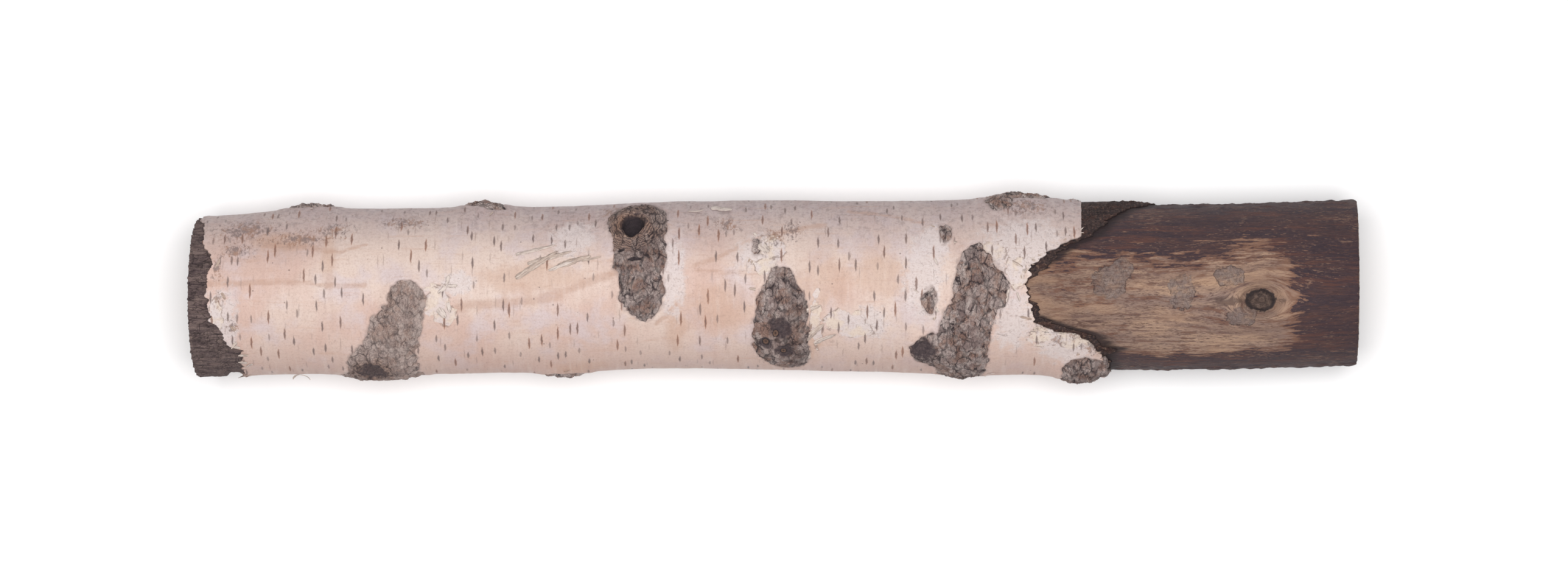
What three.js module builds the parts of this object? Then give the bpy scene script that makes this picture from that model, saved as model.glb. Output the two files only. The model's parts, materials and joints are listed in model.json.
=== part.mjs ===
// A half-metre birch log lying on its side: a sawn billet of wood, still in its white bark
// except near one end, where the bark is torn away and the bare wood shows.
// Millimetres. +X runs along the log, +Z is up, and the log lies on Z = 0.
import * as THREE from "three";

const { degToRad, lerp, smoothstep } = THREE.MathUtils;

// Driving dimensions.
const LENGTH = 500; // from saw cut to saw cut, along the pith
const CUT_TILT = degToRad(3.2); // both saw cuts lean off square by this much
const BARK_THICKNESS = 2.4; // from the wood to the outer face of the paper
const BARK_PLAY = 0.35; // the dried bark stands this far off the wood
const PEELED_DEPTH = 0.9; // the outer paper that is missing at the left end
const PEELED_END = -240; // mean x where that peeled band ends
const MEAN_RADIUS = 35; // turns an angle into a distance round the log
const TORN_MEAN = 124; // mean x of the torn edge
const TORN_REACH = 70; // stretch of bark that follows the torn edge's outline
const KNOT_DIP = 1.6; // depth of the pruned knot in the bare wood

// Mesh density.
const SIDES = 48;
const BARK_RING_STEP = 6.2;
const LINER_RING_STEP = 24;
const WOOD_RING_STEP = 6;
const COVERED_WOOD_RING_STEP = 40;

// Stations along the pith: [x, value]. The billet tapers a little and bends sideways.
const WOOD_RADIUS = [
  [-250, 32.2], [-165, 33.4], [-110, 33.2], [-35, 33.7],
  [40, 34.5], [85, 35.2], [165, 35.4], [250, 35.5],
];
const SIDEWAYS_BEND = [
  [-250, -3.4], [-200, -1.3], [-110, -0.4], [-35, 1.8],
  [60, 0.9], [130, 0.7], [190, 1.0], [250, 2.7],
];

// The torn edge of the bark: [turn in degrees from the top towards +Y, x].
const TORN_EDGE = [
  [-180, 134], [-150, 126], [-120, 133], [-90, 141], [-63, 139], [-45, 136], [-35, 131],
  [-31, 121], [-24, 109], [-10, 107], [0, 105.5], [11, 107], [19, 111], [28, 120],
  [36, 130], [76, 130], [110, 124], [145, 128], [180, 134],
];

// Branch scars and swellings of the bark. Those at a turn of about 160 degrees either way
// are underneath, and the log rests on them.
const SCARS = [
  { x: -172, turn: -62, long: 16, wide: 15, high: 3.4 },
  { x: -160, turn: -18, long: 10, wide: 18, high: 1.8 },
  { x: -202, turn: 84, long: 14, wide: 12, high: 1.8 },
  { x: -127, turn: 76, long: 13, wide: 11, high: 2.2 },
  { x: -92, turn: -82, long: 11, wide: 9, high: 2.0 },
  { x: -60, turn: 44, long: 15, wide: 14, high: 4.2 },
  { x: -58, turn: 6, long: 10, wide: 17, high: 2.0 },
  { x: 1, turn: -34, long: 14, wide: 20, high: 2.4 },
  { x: 66, turn: -46, long: 12, wide: 12, high: 1.6 },
  { x: 84, turn: -34, long: 13, wide: 27, high: 2.6 },
  { x: 102, turn: 74, long: 18, wide: 12, high: 2.6 },
  { x: 128, turn: -76, long: 11, wide: 10, high: 3.2 },
  { x: -148, turn: 163, long: 15, wide: 12, high: 3.6 },
  { x: -96, turn: -163, long: 14, wide: 12, high: 3.6 },
  { x: 58, turn: 163, long: 15, wide: 12, high: 3.6 },
  { x: 92, turn: -163, long: 14, wide: 12, high: 3.6 },
  { x: -18, turn: 128, long: 12, wide: 14, high: 1.8 },
];
const HOLLOW = { x: -61, turn: 46, long: 6, wide: 5, high: -5 };
const PRUNED_KNOT = { x: 207, turn: -10, long: 7, wide: 6, high: -KNOT_DIP };

// A smooth value between stations, by cubic Hermite steps.
function between(stations, x) {
  const last = stations.length - 1;
  let i = stations.findIndex(([at]) => at > x) - 1;
  if (i < 0) i = x < stations[0][0] ? 0 : last - 1;
  const slope = (k) => {
    const [a, b] = [stations[Math.max(k - 1, 0)], stations[Math.min(k + 1, last)]];
    return (b[1] - a[1]) / (b[0] - a[0]);
  };
  const [x0, v0] = stations[i];
  const [x1, v1] = stations[i + 1];
  const span = x1 - x0;
  const t = THREE.MathUtils.clamp((x - x0) / span, 0, 1);
  const rise = v0 * (1 + 2 * t) * (1 - t) ** 2 + v1 * (3 - 2 * t) * t ** 2;
  return rise + span * t * (1 - t) * (slope(i) * (1 - t) - slope(i + 1) * t);
}

// The x of the torn edge at a turn, straight from point to point.
function tornEdge(turn) {
  const i = TORN_EDGE.findIndex(([at], k) => k > 0 && at >= turn - 1e-6);
  const [turn0, x0] = TORN_EDGE[i - 1];
  const [turn1, x1] = TORN_EDGE[i];
  return lerp(x0, x1, (turn - turn0) / (turn1 - turn0));
}

// The height of a rounded swelling, or the depth of a hollow, at a place on the surface.
function swelling(scar, x, turn) {
  const apart = THREE.MathUtils.euclideanModulo(turn - scar.turn + 180, 360) - 180;
  const round = degToRad(apart) * MEAN_RADIUS;
  return scar.high * Math.exp(-(((x - scar.x) / scar.long) ** 2) - (round / scar.wide) ** 2);
}

function woodRadius(x, turn) {
  return between(WOOD_RADIUS, x) + swelling(PRUNED_KNOT, x, turn);
}

function linerRadius(x) {
  return between(WOOD_RADIUS, x) + BARK_PLAY;
}

function barkRadius(x, turn) {
  const paper = smoothstep(x, PEELED_END - 4, PEELED_END + 4);
  const skin = between(WOOD_RADIUS, x) + BARK_THICKNESS - PEELED_DEPTH * (1 - paper);
  const scars = SCARS.reduce((sum, scar) => sum + swelling(scar, x, turn), 0);
  return skin + scars * paper + swelling(HOLLOW, x, turn);
}

// Lays a lathe form along +X and gives each vertex its real place. The form's own radius says
// which layer the vertex is on, and place(x, turn, layer) answers with its x and its radius.
function lay(profile, place) {
  const form = new THREE.LatheGeometry(profile, SIDES).rotateZ(-Math.PI / 2);
  const position = form.getAttribute("position");
  for (let i = 0; i < position.count; i += 1) {
    const layer = Math.hypot(position.getY(i), position.getZ(i));
    const raw = Math.atan2(position.getY(i), position.getZ(i));
    const turn = Math.round((THREE.MathUtils.radToDeg(raw) * SIDES) / 360) * (360 / SIDES);
    const { x, radius, lean } = place(position.getX(i), layer > 1e-6 ? turn : 0, layer);
    const up = radius * Math.cos(degToRad(turn));
    const side = radius * Math.sin(degToRad(turn));
    const leant = x - up * Math.tan(CUT_TILT) * lean;
    position.setXYZ(i, leant, between(SIDEWAYS_BEND, x) + side, up);
  }
  form.computeVertexNormals();
  return form;
}

function steps(from, to, step) {
  const count = Math.round(Math.abs(to - from) / step);
  return Array.from({ length: count + 1 }, (_, i) => lerp(from, to, i / count));
}

// The billet: flat sawn caps, and a plain flank that is finer where it is bare.
function woodGeometry() {
  const half = LENGTH / 2;
  const bareFrom = 100;
  const flank = [
    ...steps(-half, bareFrom, COVERED_WOOD_RING_STEP),
    ...steps(bareFrom, half, WOOD_RING_STEP).slice(1),
  ];
  const profile = [
    new THREE.Vector2(0, -half),
    new THREE.Vector2(0.5, -half),
    ...flank.map((x) => new THREE.Vector2(1, x)),
    new THREE.Vector2(0.5, half),
    new THREE.Vector2(0, half),
  ];
  return lay(profile, (x, turn, layer) => {
    return { x, radius: layer * woodRadius(x, turn), lean: 1 };
  });
}

// The bark: an outer face with its scars, a torn edge, a plain inner face and a sawn end.
// Layer 2 of the lathe form is the outer face and layer 1 is the inner face.
function barkGeometry() {
  const start = -LENGTH / 2;
  const outer = steps(start, TORN_MEAN, BARK_RING_STEP);
  const inner = steps(TORN_MEAN, start, LINER_RING_STEP);
  const profile = [
    ...outer.map((x) => new THREE.Vector2(2, x)),
    ...inner.map((x) => new THREE.Vector2(1, x)),
    new THREE.Vector2(2, start),
  ];
  return lay(profile, (x, turn, layer) => {
    const follow = smoothstep(x, TORN_MEAN - TORN_REACH, TORN_MEAN);
    const at = x + (tornEdge(turn) - TORN_MEAN) * follow;
    const radius = layer > 1.5 ? barkRadius(at, turn) : linerRadius(at);
    return { x: at, radius, lean: 1 - smoothstep(x, start, 0) };
  });
}

function named(name, geometry, colour, roughness) {
  const material = new THREE.MeshStandardMaterial({ color: colour, roughness, metalness: 0 });
  material.name = name;
  const mesh = new THREE.Mesh(geometry, material);
  mesh.name = name;
  return mesh;
}

const log = new THREE.Group();
log.add(named("wood", woodGeometry(), 0x8a6a56, 0.85));
log.add(named("bark", barkGeometry(), 0xd8c4b8, 0.7));

// The log lies on Z = 0, with its middle above the origin.
const bounds = new THREE.Box3().setFromObject(log);
const middle = bounds.getCenter(new THREE.Vector3());
log.position.set(-middle.x, -middle.y, -bounds.min.z);

export default log;
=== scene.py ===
# %% [markdown]
# # A birch log
# This lesson dresses a plain CAD log in what makes it look like birch: white paper bark with
# dark lenticels, crusted branch scars, a torn edge, and the stained bare wood beyond it.
# The CAD model is the fixed frame. Every piece here is laid on the same pith, at real size.

# %% Load the frame
import json
import math
import random

import bmesh
import bpy
import numpy as np
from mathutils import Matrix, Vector, noise


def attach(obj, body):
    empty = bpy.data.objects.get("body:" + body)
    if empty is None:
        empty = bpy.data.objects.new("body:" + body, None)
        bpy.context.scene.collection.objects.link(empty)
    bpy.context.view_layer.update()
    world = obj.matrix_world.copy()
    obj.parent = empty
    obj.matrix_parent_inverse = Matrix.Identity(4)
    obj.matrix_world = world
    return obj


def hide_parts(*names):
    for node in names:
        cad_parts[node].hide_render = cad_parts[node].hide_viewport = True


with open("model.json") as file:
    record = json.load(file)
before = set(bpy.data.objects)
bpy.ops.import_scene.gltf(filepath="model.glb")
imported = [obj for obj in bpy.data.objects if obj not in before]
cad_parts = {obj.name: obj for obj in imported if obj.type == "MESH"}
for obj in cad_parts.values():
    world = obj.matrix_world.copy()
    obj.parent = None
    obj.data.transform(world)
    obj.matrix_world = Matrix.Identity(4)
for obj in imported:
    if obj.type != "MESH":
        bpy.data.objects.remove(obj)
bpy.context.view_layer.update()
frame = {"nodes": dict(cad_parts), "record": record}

MM = 0.001
print("nodes:", sorted(frame["nodes"]))

# %% [markdown]
# A log is drawn most easily in its own terms: how far along it a place is, how far round, and
# how far from the pith. So every shape below is worked out as x in millimetres, a turn in
# degrees from the top towards +Y, and a radius. The two mounts sit on the pith at the saw cuts,
# and they say where that pith is in the frame and how the cuts lean.

# %% The pith, the taper and the bend
mounts = {m["name"]: m for m in frame["record"]["mounts"]}
bark_cut, bare_cut = mounts["sawn_end_in_bark"], mounts["sawn_end_bare"]
HALF = (bare_cut["pos_m"][0] - bark_cut["pos_m"][0]) / 2 / MM
CUT_SLOPE = bare_cut["axis"][2] / bare_cut["axis"][0]
CORE_RADIUS = 36.0  # a plain round, on which patterns are laid out

# [x, value] stations, as in the CAD model.
WOOD_RADIUS = [[-250, 32.2], [-165, 33.4], [-110, 33.2], [-35, 33.7],
               [40, 34.5], [85, 35.2], [165, 35.4], [250, 35.5]]
SIDEWAYS_BEND = [[-250, -3.4], [-200, -1.3], [-110, -0.4], [-35, 1.8],
                 [60, 0.9], [130, 0.7], [190, 1.0], [250, 2.7]]
PITH = Vector(((bare_cut["pos_m"][0] + bark_cut["pos_m"][0]) / 2,
               bark_cut["pos_m"][1] - SIDEWAYS_BEND[0][1] * MM,
               bark_cut["pos_m"][2]))


def between(stations, x):
    """A smooth value between stations, by cubic Hermite steps, as the CAD model has it."""
    at, value = np.array(stations, float).T
    padded_at, padded_value = np.pad(at, 1, "edge"), np.pad(value, 1, "edge")
    slope = (padded_value[2:] - padded_value[:-2]) / (padded_at[2:] - padded_at[:-2])
    i = np.clip(np.searchsorted(at, x, side="right") - 1, 0, len(at) - 2)
    span = at[i + 1] - at[i]
    t = np.clip((x - at[i]) / span, 0, 1)
    rise = value[i] * (1 + 2 * t) * (1 - t) ** 2 + value[i + 1] * (3 - 2 * t) * t ** 2
    return rise + span * t * (1 - t) * (slope[i] * (1 - t) - slope[i + 1] * t)


def smoothstep(value, low, high):
    t = np.clip((value - low) / (high - low), 0, 1)
    return t * t * (3 - 2 * t)


def round_the_log(turn, centre):
    """Millimetres round the log from a centre line, the short way."""
    return np.radians((turn - centre + 180) % 360 - 180) * CORE_RADIUS


def lay(x, turn, radius, lean):
    """Puts places given along, round and out from the pith into the frame, in metres."""
    up = radius * np.cos(np.radians(turn))
    side = radius * np.sin(np.radians(turn))
    place = np.column_stack([x - up * CUT_SLOPE * lean, between(SIDEWAYS_BEND, x) + side, up])
    return place * MM + np.array(PITH)


def lumps(x, turn, size, octaves=3, along=1.0, around=1.0, seed=0.0):
    """Seamless noise from about -1 to 1, with lumps of this size in millimetres."""
    angle = np.radians(turn)
    places = np.column_stack([x / along, CORE_RADIUS * np.sin(angle) / around,
                              CORE_RADIUS * np.cos(angle) / around]) / size + seed
    return np.array([noise.fractal(p, 1.0, 2.0, octaves) for p in places.tolist()])


print(f"half length {HALF:.1f} mm, cuts lean {math.degrees(math.atan(CUT_SLOPE)):.1f} degrees")

# %% [markdown]
# Each layer ends on its own ragged line. The white paper is torn back furthest, the brown inner
# bark under it stands out a little beyond, and at the sawn end the paper has peeled away from a
# band of inner bark. A ragged line is a few given points and a little noise on top.

# %% The torn outlines: [turn, x]
PAPER_TEAR = [[-180, 134], [-150, 126], [-120, 133], [-90, 141], [-63, 139.3], [-55, 138.6],
              [-44, 135.8], [-38, 133], [-33, 129], [-30.5, 123], [-31.5, 118.6], [-25.5, 112],
              [-23.8, 108.3], [-20, 110], [-15, 108.4], [-9, 107.2], [-3, 105.7], [5, 105.6],
              [11, 106.8], [15, 108.6], [19, 110.8], [24, 116], [28.5, 120], [32, 124],
              [35.6, 129.4], [76, 130.3], [110, 124], [145, 128], [180, 134]]
BAST_TEAR = [[-180, 138], [-150, 129], [-120, 137], [-90, 143], [-62, 141], [-54, 139.4],
             [-48, 145.2], [-45, 139], [-36, 135.6], [-31, 127.2], [-28.5, 122], [-25, 116.4],
             [-19.5, 111.2], [-9, 107.9], [-3, 106.4], [5, 106.4], [8.6, 109.4], [13.7, 113.6],
             [18, 117.5], [24, 119.2], [31, 125.0], [35, 130.2], [38, 134.6], [52, 140], [62, 146],
             [72, 151],
             [82, 159], [92, 163], [104, 148], [125, 131], [150, 133], [180, 138]]
PAPER_PEEL = [[-180, -242], [-130, -238], [-100, -232], [-73, -228.8], [-44, -228.4],
              [-37, -234], [-25, -236.4], [-18, -240], [-9, -241.7], [8, -242], [16, -241],
              [31, -239.8], [36, -243.9], [57, -245], [77, -247.4], [110, -246.5], [150, -244],
              [180, -242]]


def outline(points, turn, ragged=0.0, size=2.5, seed=0.0):
    """The x of a torn line at each turn, with this much noise on it."""
    at, x = np.array(points, float).T
    wrapped = (turn + 180) % 360 - 180
    return np.interp(wrapped, at, x) + ragged * lumps(0 * turn, turn, size, 4, seed=seed)


# %% [markdown]
# Where a branch died, the bark closed over its stub as a swelling with a dark corky crust.
# Each scar is a swelling, as the CAD model has it, and one or more round lobes that melt
# together into the outline of its crust. Some have eyes, where the stub itself was, and on one
# the stubs still show as buds. The four near a turn of 163 degrees either way are underneath.
# The log lies on them, so their crusts are pressed in by some millimetres.

# %% The branch scars
# at: [x, turn, long, wide, high] of a swelling. lobes: [x, turn, half length, half width].
# eyes and buds: [x, turn, radius]. slits: [x, turn, half length, half width]. rings, shade and
# darker_side: how strong, from 0 to 1. A shade below 0 is paler.
PLAIN_SCAR = dict(at=[], eyes=[], buds=[], slits=[], rings=0.2, shade=0, darker_side=0, pressed=0)
SCARS = {
    "boot": dict(at=[[-172, -62, 16, 15, 3.4], [-160, -18, 10, 18, 1.8]],
                 lobes=[[-170, -82, 18, 13], [-168.5, -58, 15.5, 15], [-163, -30, 11.5, 13],
                        [-157, -8, 8.5, 9.5]],
                 eyes=[[-173, -60, 5.5]], rings=0.6, shade=-0.7),
    "crown": dict(at=[[-202, 84, 14, 12, 1.8]], lobes=[[-202, 92, 11, 8]]),
    "chip": dict(at=[[-127, 76, 13, 11, 2.2]], lobes=[[-127, 86, 9, 7], [-122, 74, 5, 4]]),
    "belly": dict(at=[[-92, -82, 11, 9, 2.0]], lobes=[[-92, -86, 9, 5.5]]),
    "collar": dict(at=[[-60, 44, 15, 14, 4.2], [-58, 6, 10, 17, 2.0]],
                   lobes=[[-59.5, 46, 13, 15], [-59, 20, 11.5, 13], [-58, -2, 10, 11],
                          [-57, -15, 6, 6]],
                   eyes=[[-62, 41.5, 4.8]], rings=1.0, shade=0.5,
                   slits=[[-61.2, 17, 3.3, 0.8], [-66.6, 23.5, 1.7, 0.8]]),
    "drop": dict(at=[[1, -34, 14, 20, 2.4]],
                 lobes=[[1, -38, 12.6, 17], [1.5, -15, 11, 11.5], [1, 1, 6, 8],
                        [5, -58, 8, 9]],
                 eyes=[[1.2, -27, 4.4], [-5.2, -38.5, 2.8], [2.5, -45, 3.6]], rings=0.3,
                 shade=0.25, darker_side=0.6,
                 buds=[[-1.2, -31, 1.2], [-5.4, -38.5, 1.4], [2.2, -45.5, 1.2]]),
    "ridge": dict(at=[[66, -46, 12, 12, 1.6], [84, -34, 13, 27, 2.6]],
                  lobes=[[84, 16, 6.5, 8.5], [85, 0, 10.5, 12], [92, -3, 6, 8],
                         [80, -26, 11, 13], [78, -52, 12.5, 16], [66, -46, 10, 9],
                         [78, -76, 10, 12]],
                  eyes=[[61.8, -43.5, 5.2]], rings=0.3, shade=0.3),
    "pip": dict(lobes=[[71.3, 38, 2.8, 5]], rings=0.6),
    "seed": dict(lobes=[[64.1, -8.8, 3.6, 5.4]], rings=0.6),
    "brow": dict(at=[[102, 74, 18, 12, 2.6]], lobes=[[104, 88, 15, 10], [95, 70, 6, 8]]),
    "heel": dict(at=[[128, -76, 11, 10, 3.2]],
                 lobes=[[131, -80, 10, 12], [130, -64, 8, 7], [135.5, -68, 5, 8]], shade=0.6),
    "dot": dict(lobes=[[-9.4, 25.5, 2.4, 4]]),
    "under_a": dict(at=[[-148, 163, 15, 12, 3.6]],
                    lobes=[[-148, 163, 12, 10], [-143, 148, 7, 9]], eyes=[[-150, 161, 4.5]],
                    rings=0.5, pressed=1.9),
    "under_b": dict(at=[[-96, -163, 14, 12, 3.6]],
                    lobes=[[-96, -163, 11, 11], [-98, -146, 7, 8]], eyes=[[-96, -160, 4]],
                    rings=0.5, pressed=1.9),
    "under_c": dict(at=[[58, 163, 15, 12, 3.6]],
                    lobes=[[58, 163, 12.5, 9.5], [62, 148, 6, 9]], eyes=[[55, 163, 4.2]],
                    rings=0.5, pressed=1.9),
    "under_d": dict(at=[[92, -163, 14, 12, 3.6]],
                    lobes=[[92, -163, 11, 10], [88, -147, 7, 9]], eyes=[[93, -160, 4]],
                    rings=0.5, pressed=1.9),
    "back": dict(at=[[-18, 128, 12, 14, 1.8]],
                 lobes=[[-18, 128, 9, 12], [-14, 144, 5.5, 8]], eyes=[[-19, 127, 3.5]],
                 rings=0.4),
}
SCARS = {name: {**PLAIN_SCAR, **scar} for name, scar in SCARS.items()}
MELT = 1.6  # how far apart lobes begin to melt into one outline
RAGGED_RIM = 1.3
HOLLOW_DEPTH = 5.5  # of the dead stub's hole in the collar
HOLLOW_SIZE = [5.7, 6.4]  # half length, half width


def inside(scar, x, turn, ragged=1.0):
    """Millimetres inside the crust's outline, and less than nothing outside it."""
    depth = 0
    for at, centre, half_x, half_turn in scar["lobes"]:
        away = np.hypot((x - at) / half_x, round_the_log(turn, centre) / half_turn)
        depth = depth + np.exp((1 - away) * min(half_x, half_turn) / MELT)
    depth = MELT * np.log(np.maximum(depth, 1e-6))
    if ragged:
        depth = depth + ragged * (lumps(x, turn, 3.5, 3, seed=7) * RAGGED_RIM)
    return depth


def eye_distance(scar, x, turn):
    """Distance from the nearest eye, in eye radii, and in millimetres."""
    radii, far = np.full(len(x), 99.0), np.full(len(x), 99.0)
    for at, centre, radius in scar["eyes"]:
        away = np.hypot(x - at, round_the_log(turn, centre) * 1.15)
        radii, far = np.minimum(radii, away / radius), np.minimum(far, away)
    return radii, far


def swellings(x, turn):
    """How far all the scars together lift the bark."""
    total = 0 * x
    for scar in SCARS.values():
        for at, centre, long, wide, high in scar["at"]:
            away = ((x - at) / long) ** 2 + (round_the_log(turn, centre) / wide) ** 2
            total = total + high * np.exp(-away)
    return total


def hollow(x, turn):
    """From 0 outside to 1 at the floor of the dead stub's hole."""
    at, centre, _ = SCARS["collar"]["eyes"][0]
    away = np.hypot((x - at) / HOLLOW_SIZE[0], round_the_log(turn, centre) / HOLLOW_SIZE[1])
    return 1 - smoothstep(away + 0.12 * lumps(x, turn, 4, 3, seed=6), 0.55, 1.05)


print(len(SCARS), "branch scars")

# %% [markdown]
# Bark is a sheet rolled round the wood, so each layer starts as a flat grid. Its rows are lines
# along a closed section (out along the outer face, back along the inner one), and its columns
# go once round the log. Where the detail is fine, the flat grid is subdivided first. Then it is
# rolled up and its seams are welded. A sculpted or remeshed tube would also do, but the rolled
# sheet keeps even faces and a map that follows the surface.


# %% Roll a grid into a tube
def roll(lines, columns, finer=()):
    """A closed tube in nominal form: x, and the layer number as its radius."""
    bm = bmesh.new()
    rows = len(lines) - 1
    bmesh.ops.create_grid(bm, x_segments=rows, y_segments=columns, size=0.5)
    bmesh.ops.translate(bm, vec=(0.5, 0, 0), verts=bm.verts)
    bmesh.ops.scale(bm, vec=(rows, 360, 1), verts=bm.verts)
    index = np.arange(rows + 1)
    line_x, line_layer = np.array(lines, float).T
    for zone in finer:
        middle = np.array([f.calc_center_median()[:2] for f in bm.faces])
        x = np.interp(middle[:, 0], index, line_x)
        layer = np.interp(middle[:, 0], index, line_layer)
        wanted = zone(x, middle[:, 1], layer)
        edges = {e for f, yes in zip(bm.faces, wanted) if yes for e in f.edges}
        bmesh.ops.subdivide_edges(bm, edges=list(edges), cuts=1, use_grid_fill=True)
    for v in bm.verts:
        x = float(np.interp(v.co.x, index, line_x))
        layer = float(np.interp(v.co.x, index, line_layer))
        angle = math.radians(v.co.y)
        v.co = (x, layer * math.sin(angle), layer * math.cos(angle))
    bmesh.ops.remove_doubles(bm, verts=bm.verts, dist=2e-4)
    return bm


def nominal(bm):
    """The x, turn and layer of each vertex of a rolled tube."""
    x, side, up = np.array([v.co for v in bm.verts]).T
    return x, np.degrees(np.arctan2(side, up)), np.hypot(side, up)


def wrap_log(bm, x, turn, radius, bare_cut_leans=False):
    """Lays each vertex on the log. Both saw cuts lean, but bark has a cut at the -X end only."""
    lean = 1 if bare_cut_leans else 1 - smoothstep(x, -HALF, 0)
    for v, place in zip(bm.verts, lay(x, turn, radius, lean)):
        v.co = place


def finish_piece(bm, name):
    """Turns a bmesh into a piece of the log that rides on its body."""
    bmesh.ops.recalc_face_normals(bm, faces=bm.faces)
    mesh = bpy.data.meshes.new(name)
    bm.to_mesh(mesh)
    bm.free()
    for polygon in mesh.polygons:
        polygon.use_smooth = True
    piece = bpy.data.objects.new(name, mesh)
    bpy.context.scene.collection.objects.link(piece)
    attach(piece, "root")
    triangles = sum(len(p.vertices) - 2 for p in mesh.polygons)
    print(f"{name}: {triangles} triangles")
    return piece


def mark(piece, name, values):
    """Stores one number for each vertex, for the piece's material to read."""
    layer = piece.data.attributes.new(name, "FLOAT", "POINT")
    layer.data.foreach_set("value", np.asarray(values, np.float32))


def steps(start, end, step):
    return np.linspace(start, end, max(2, round(abs(end - start) / step) + 1))


# %% [markdown]
# The paper is the white outer bark. It is thin, it follows every swelling, it has shallow waves
# where it has dried, and it lifts and curls a little along its torn edges. Under a crust it is
# sunk out of sight, so that the crust comes through it with a ragged rim.

# %% The white paper
PAPER_OUT = 2.4  # outer face of the paper, above the wood
PAPER_IN = 1.6
TEAR_MEAN = 124.0  # the x of the grid's two ends, before they follow the torn outlines
PEEL_MEAN = -240.0
FOLLOW = 70.0  # the stretch that follows the tear's outline
STEP = 1.6  # between the rows of a grid, where it is fine
COARSE_STEP = 12
COLUMNS = 150
SUNK = 1.3  # how far the paper goes down under a crust


def any_scar(x, turn, ragged=1.0):
    depth = np.full(len(x), -50.0)
    for scar in SCARS.values():
        depth = np.maximum(depth, inside(scar, x, turn, ragged))
    return depth


def bark_surface(x, turn):
    """The outer face of the bark, before crusts and curls."""
    wave = 0.28 * lumps(x, turn, 24, 3) + 0.07 * lumps(x, turn, 5, 3, seed=3)
    band = 0.06 * lumps(x, turn, 2.2, 2, around=9, seed=5)
    return between(WOOD_RADIUS, x) + PAPER_OUT + swellings(x, turn) + wave + band


def paper_places(x, turn, layer):
    tear = outline(PAPER_TEAR, turn)
    clean = smoothstep(turn, 33, 37) * (1 - smoothstep(turn, 74, 80))
    jag = (outline(PAPER_TEAR, turn, 1.9, 2.2, seed=2) - tear) * (1 - 0.9 * clean)
    peel = outline(PAPER_PEEL, turn)
    peel_jag = outline(PAPER_PEEL, turn, 2.0, 3.2, seed=4) - peel
    from_tear, from_peel = TEAR_MEAN - x, x - PEEL_MEAN
    at = x + (tear - TEAR_MEAN) * smoothstep(x, TEAR_MEAN - FOLLOW, TEAR_MEAN)
    at = at + (peel - PEEL_MEAN) * (1 - smoothstep(x, PEEL_MEAN, PEEL_MEAN + 30))
    at = at + jag * np.exp(-from_tear / 2.5) + peel_jag * np.exp(-from_peel / 3)
    outer = smoothstep(layer, 1.2, 1.8)
    skin = bark_surface(at, turn)
    depth = any_scar(at, turn)
    skin = skin - SUNK * smoothstep(depth, 0.2, 1.6) - (HOLLOW_DEPTH + 1.2) * hollow(at, turn)
    lip = 0.35 * np.exp(-((depth + 0.8) / 1.2) ** 2)
    curl = np.exp(-from_tear / 2.2) * (0.35 + 0.5 * lumps(at, turn, 6, 2, seed=8)) * (1 - clean)
    curl = curl + np.exp(-from_peel / 2.0) * (0.3 + 0.5 * lumps(at, turn, 5, 2, seed=9))
    under = between(WOOD_RADIUS, at) + PAPER_IN
    radius = outer * (skin + lip) + (1 - outer) * np.minimum(under, skin - 0.4) + curl
    return at, radius


def paper_zones():
    def near_edges(x, turn, layer):
        return ((x > TEAR_MEAN - 9) | (x < PEEL_MEAN + 7)) & (layer > 1.05)

    def near_scars(x, turn, layer):
        follow = smoothstep(x, TEAR_MEAN - FOLLOW, TEAR_MEAN)
        at = x + (outline(PAPER_TEAR, turn) - TEAR_MEAN) * follow
        depth = any_scar(at, turn, 0)
        return (np.abs(depth) < 3.5) & (layer > 1.5) | near_edges(x, turn, layer)

    def at_rims(x, turn, layer):
        return ((x > TEAR_MEAN - 4) | (x < PEEL_MEAN + 3.5)) & (layer > 1.05)

    return near_scars, at_rims


lines = [(x, 2) for x in steps(PEEL_MEAN, TEAR_MEAN, STEP)]
lines += [(x, 1) for x in steps(TEAR_MEAN, PEEL_MEAN, COARSE_STEP)] + [(PEEL_MEAN, 2)]
bm = roll(lines, COLUMNS, paper_zones())
x, turn, layer = nominal(bm)
x, radius = paper_places(x, turn, layer)
wrap_log(bm, x, turn, radius)
paper = finish_piece(bm, "paper_bark")
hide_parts("bark")
mark(paper, "scar_depth", any_scar(x, turn))

# %% [markdown]
# The inner bark is a brown, fibrous layer. It shows as a band at the sawn end and as a crumbling
# strip beyond the torn paper. Its fibres run along the log, so its noise is stretched that way,
# and at the tear it has broken into small blocks.

# %% The brown inner bark
BAST_OUT = 1.5
BAST_IN = 0.1
BAST_MEAN = 128.0


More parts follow.
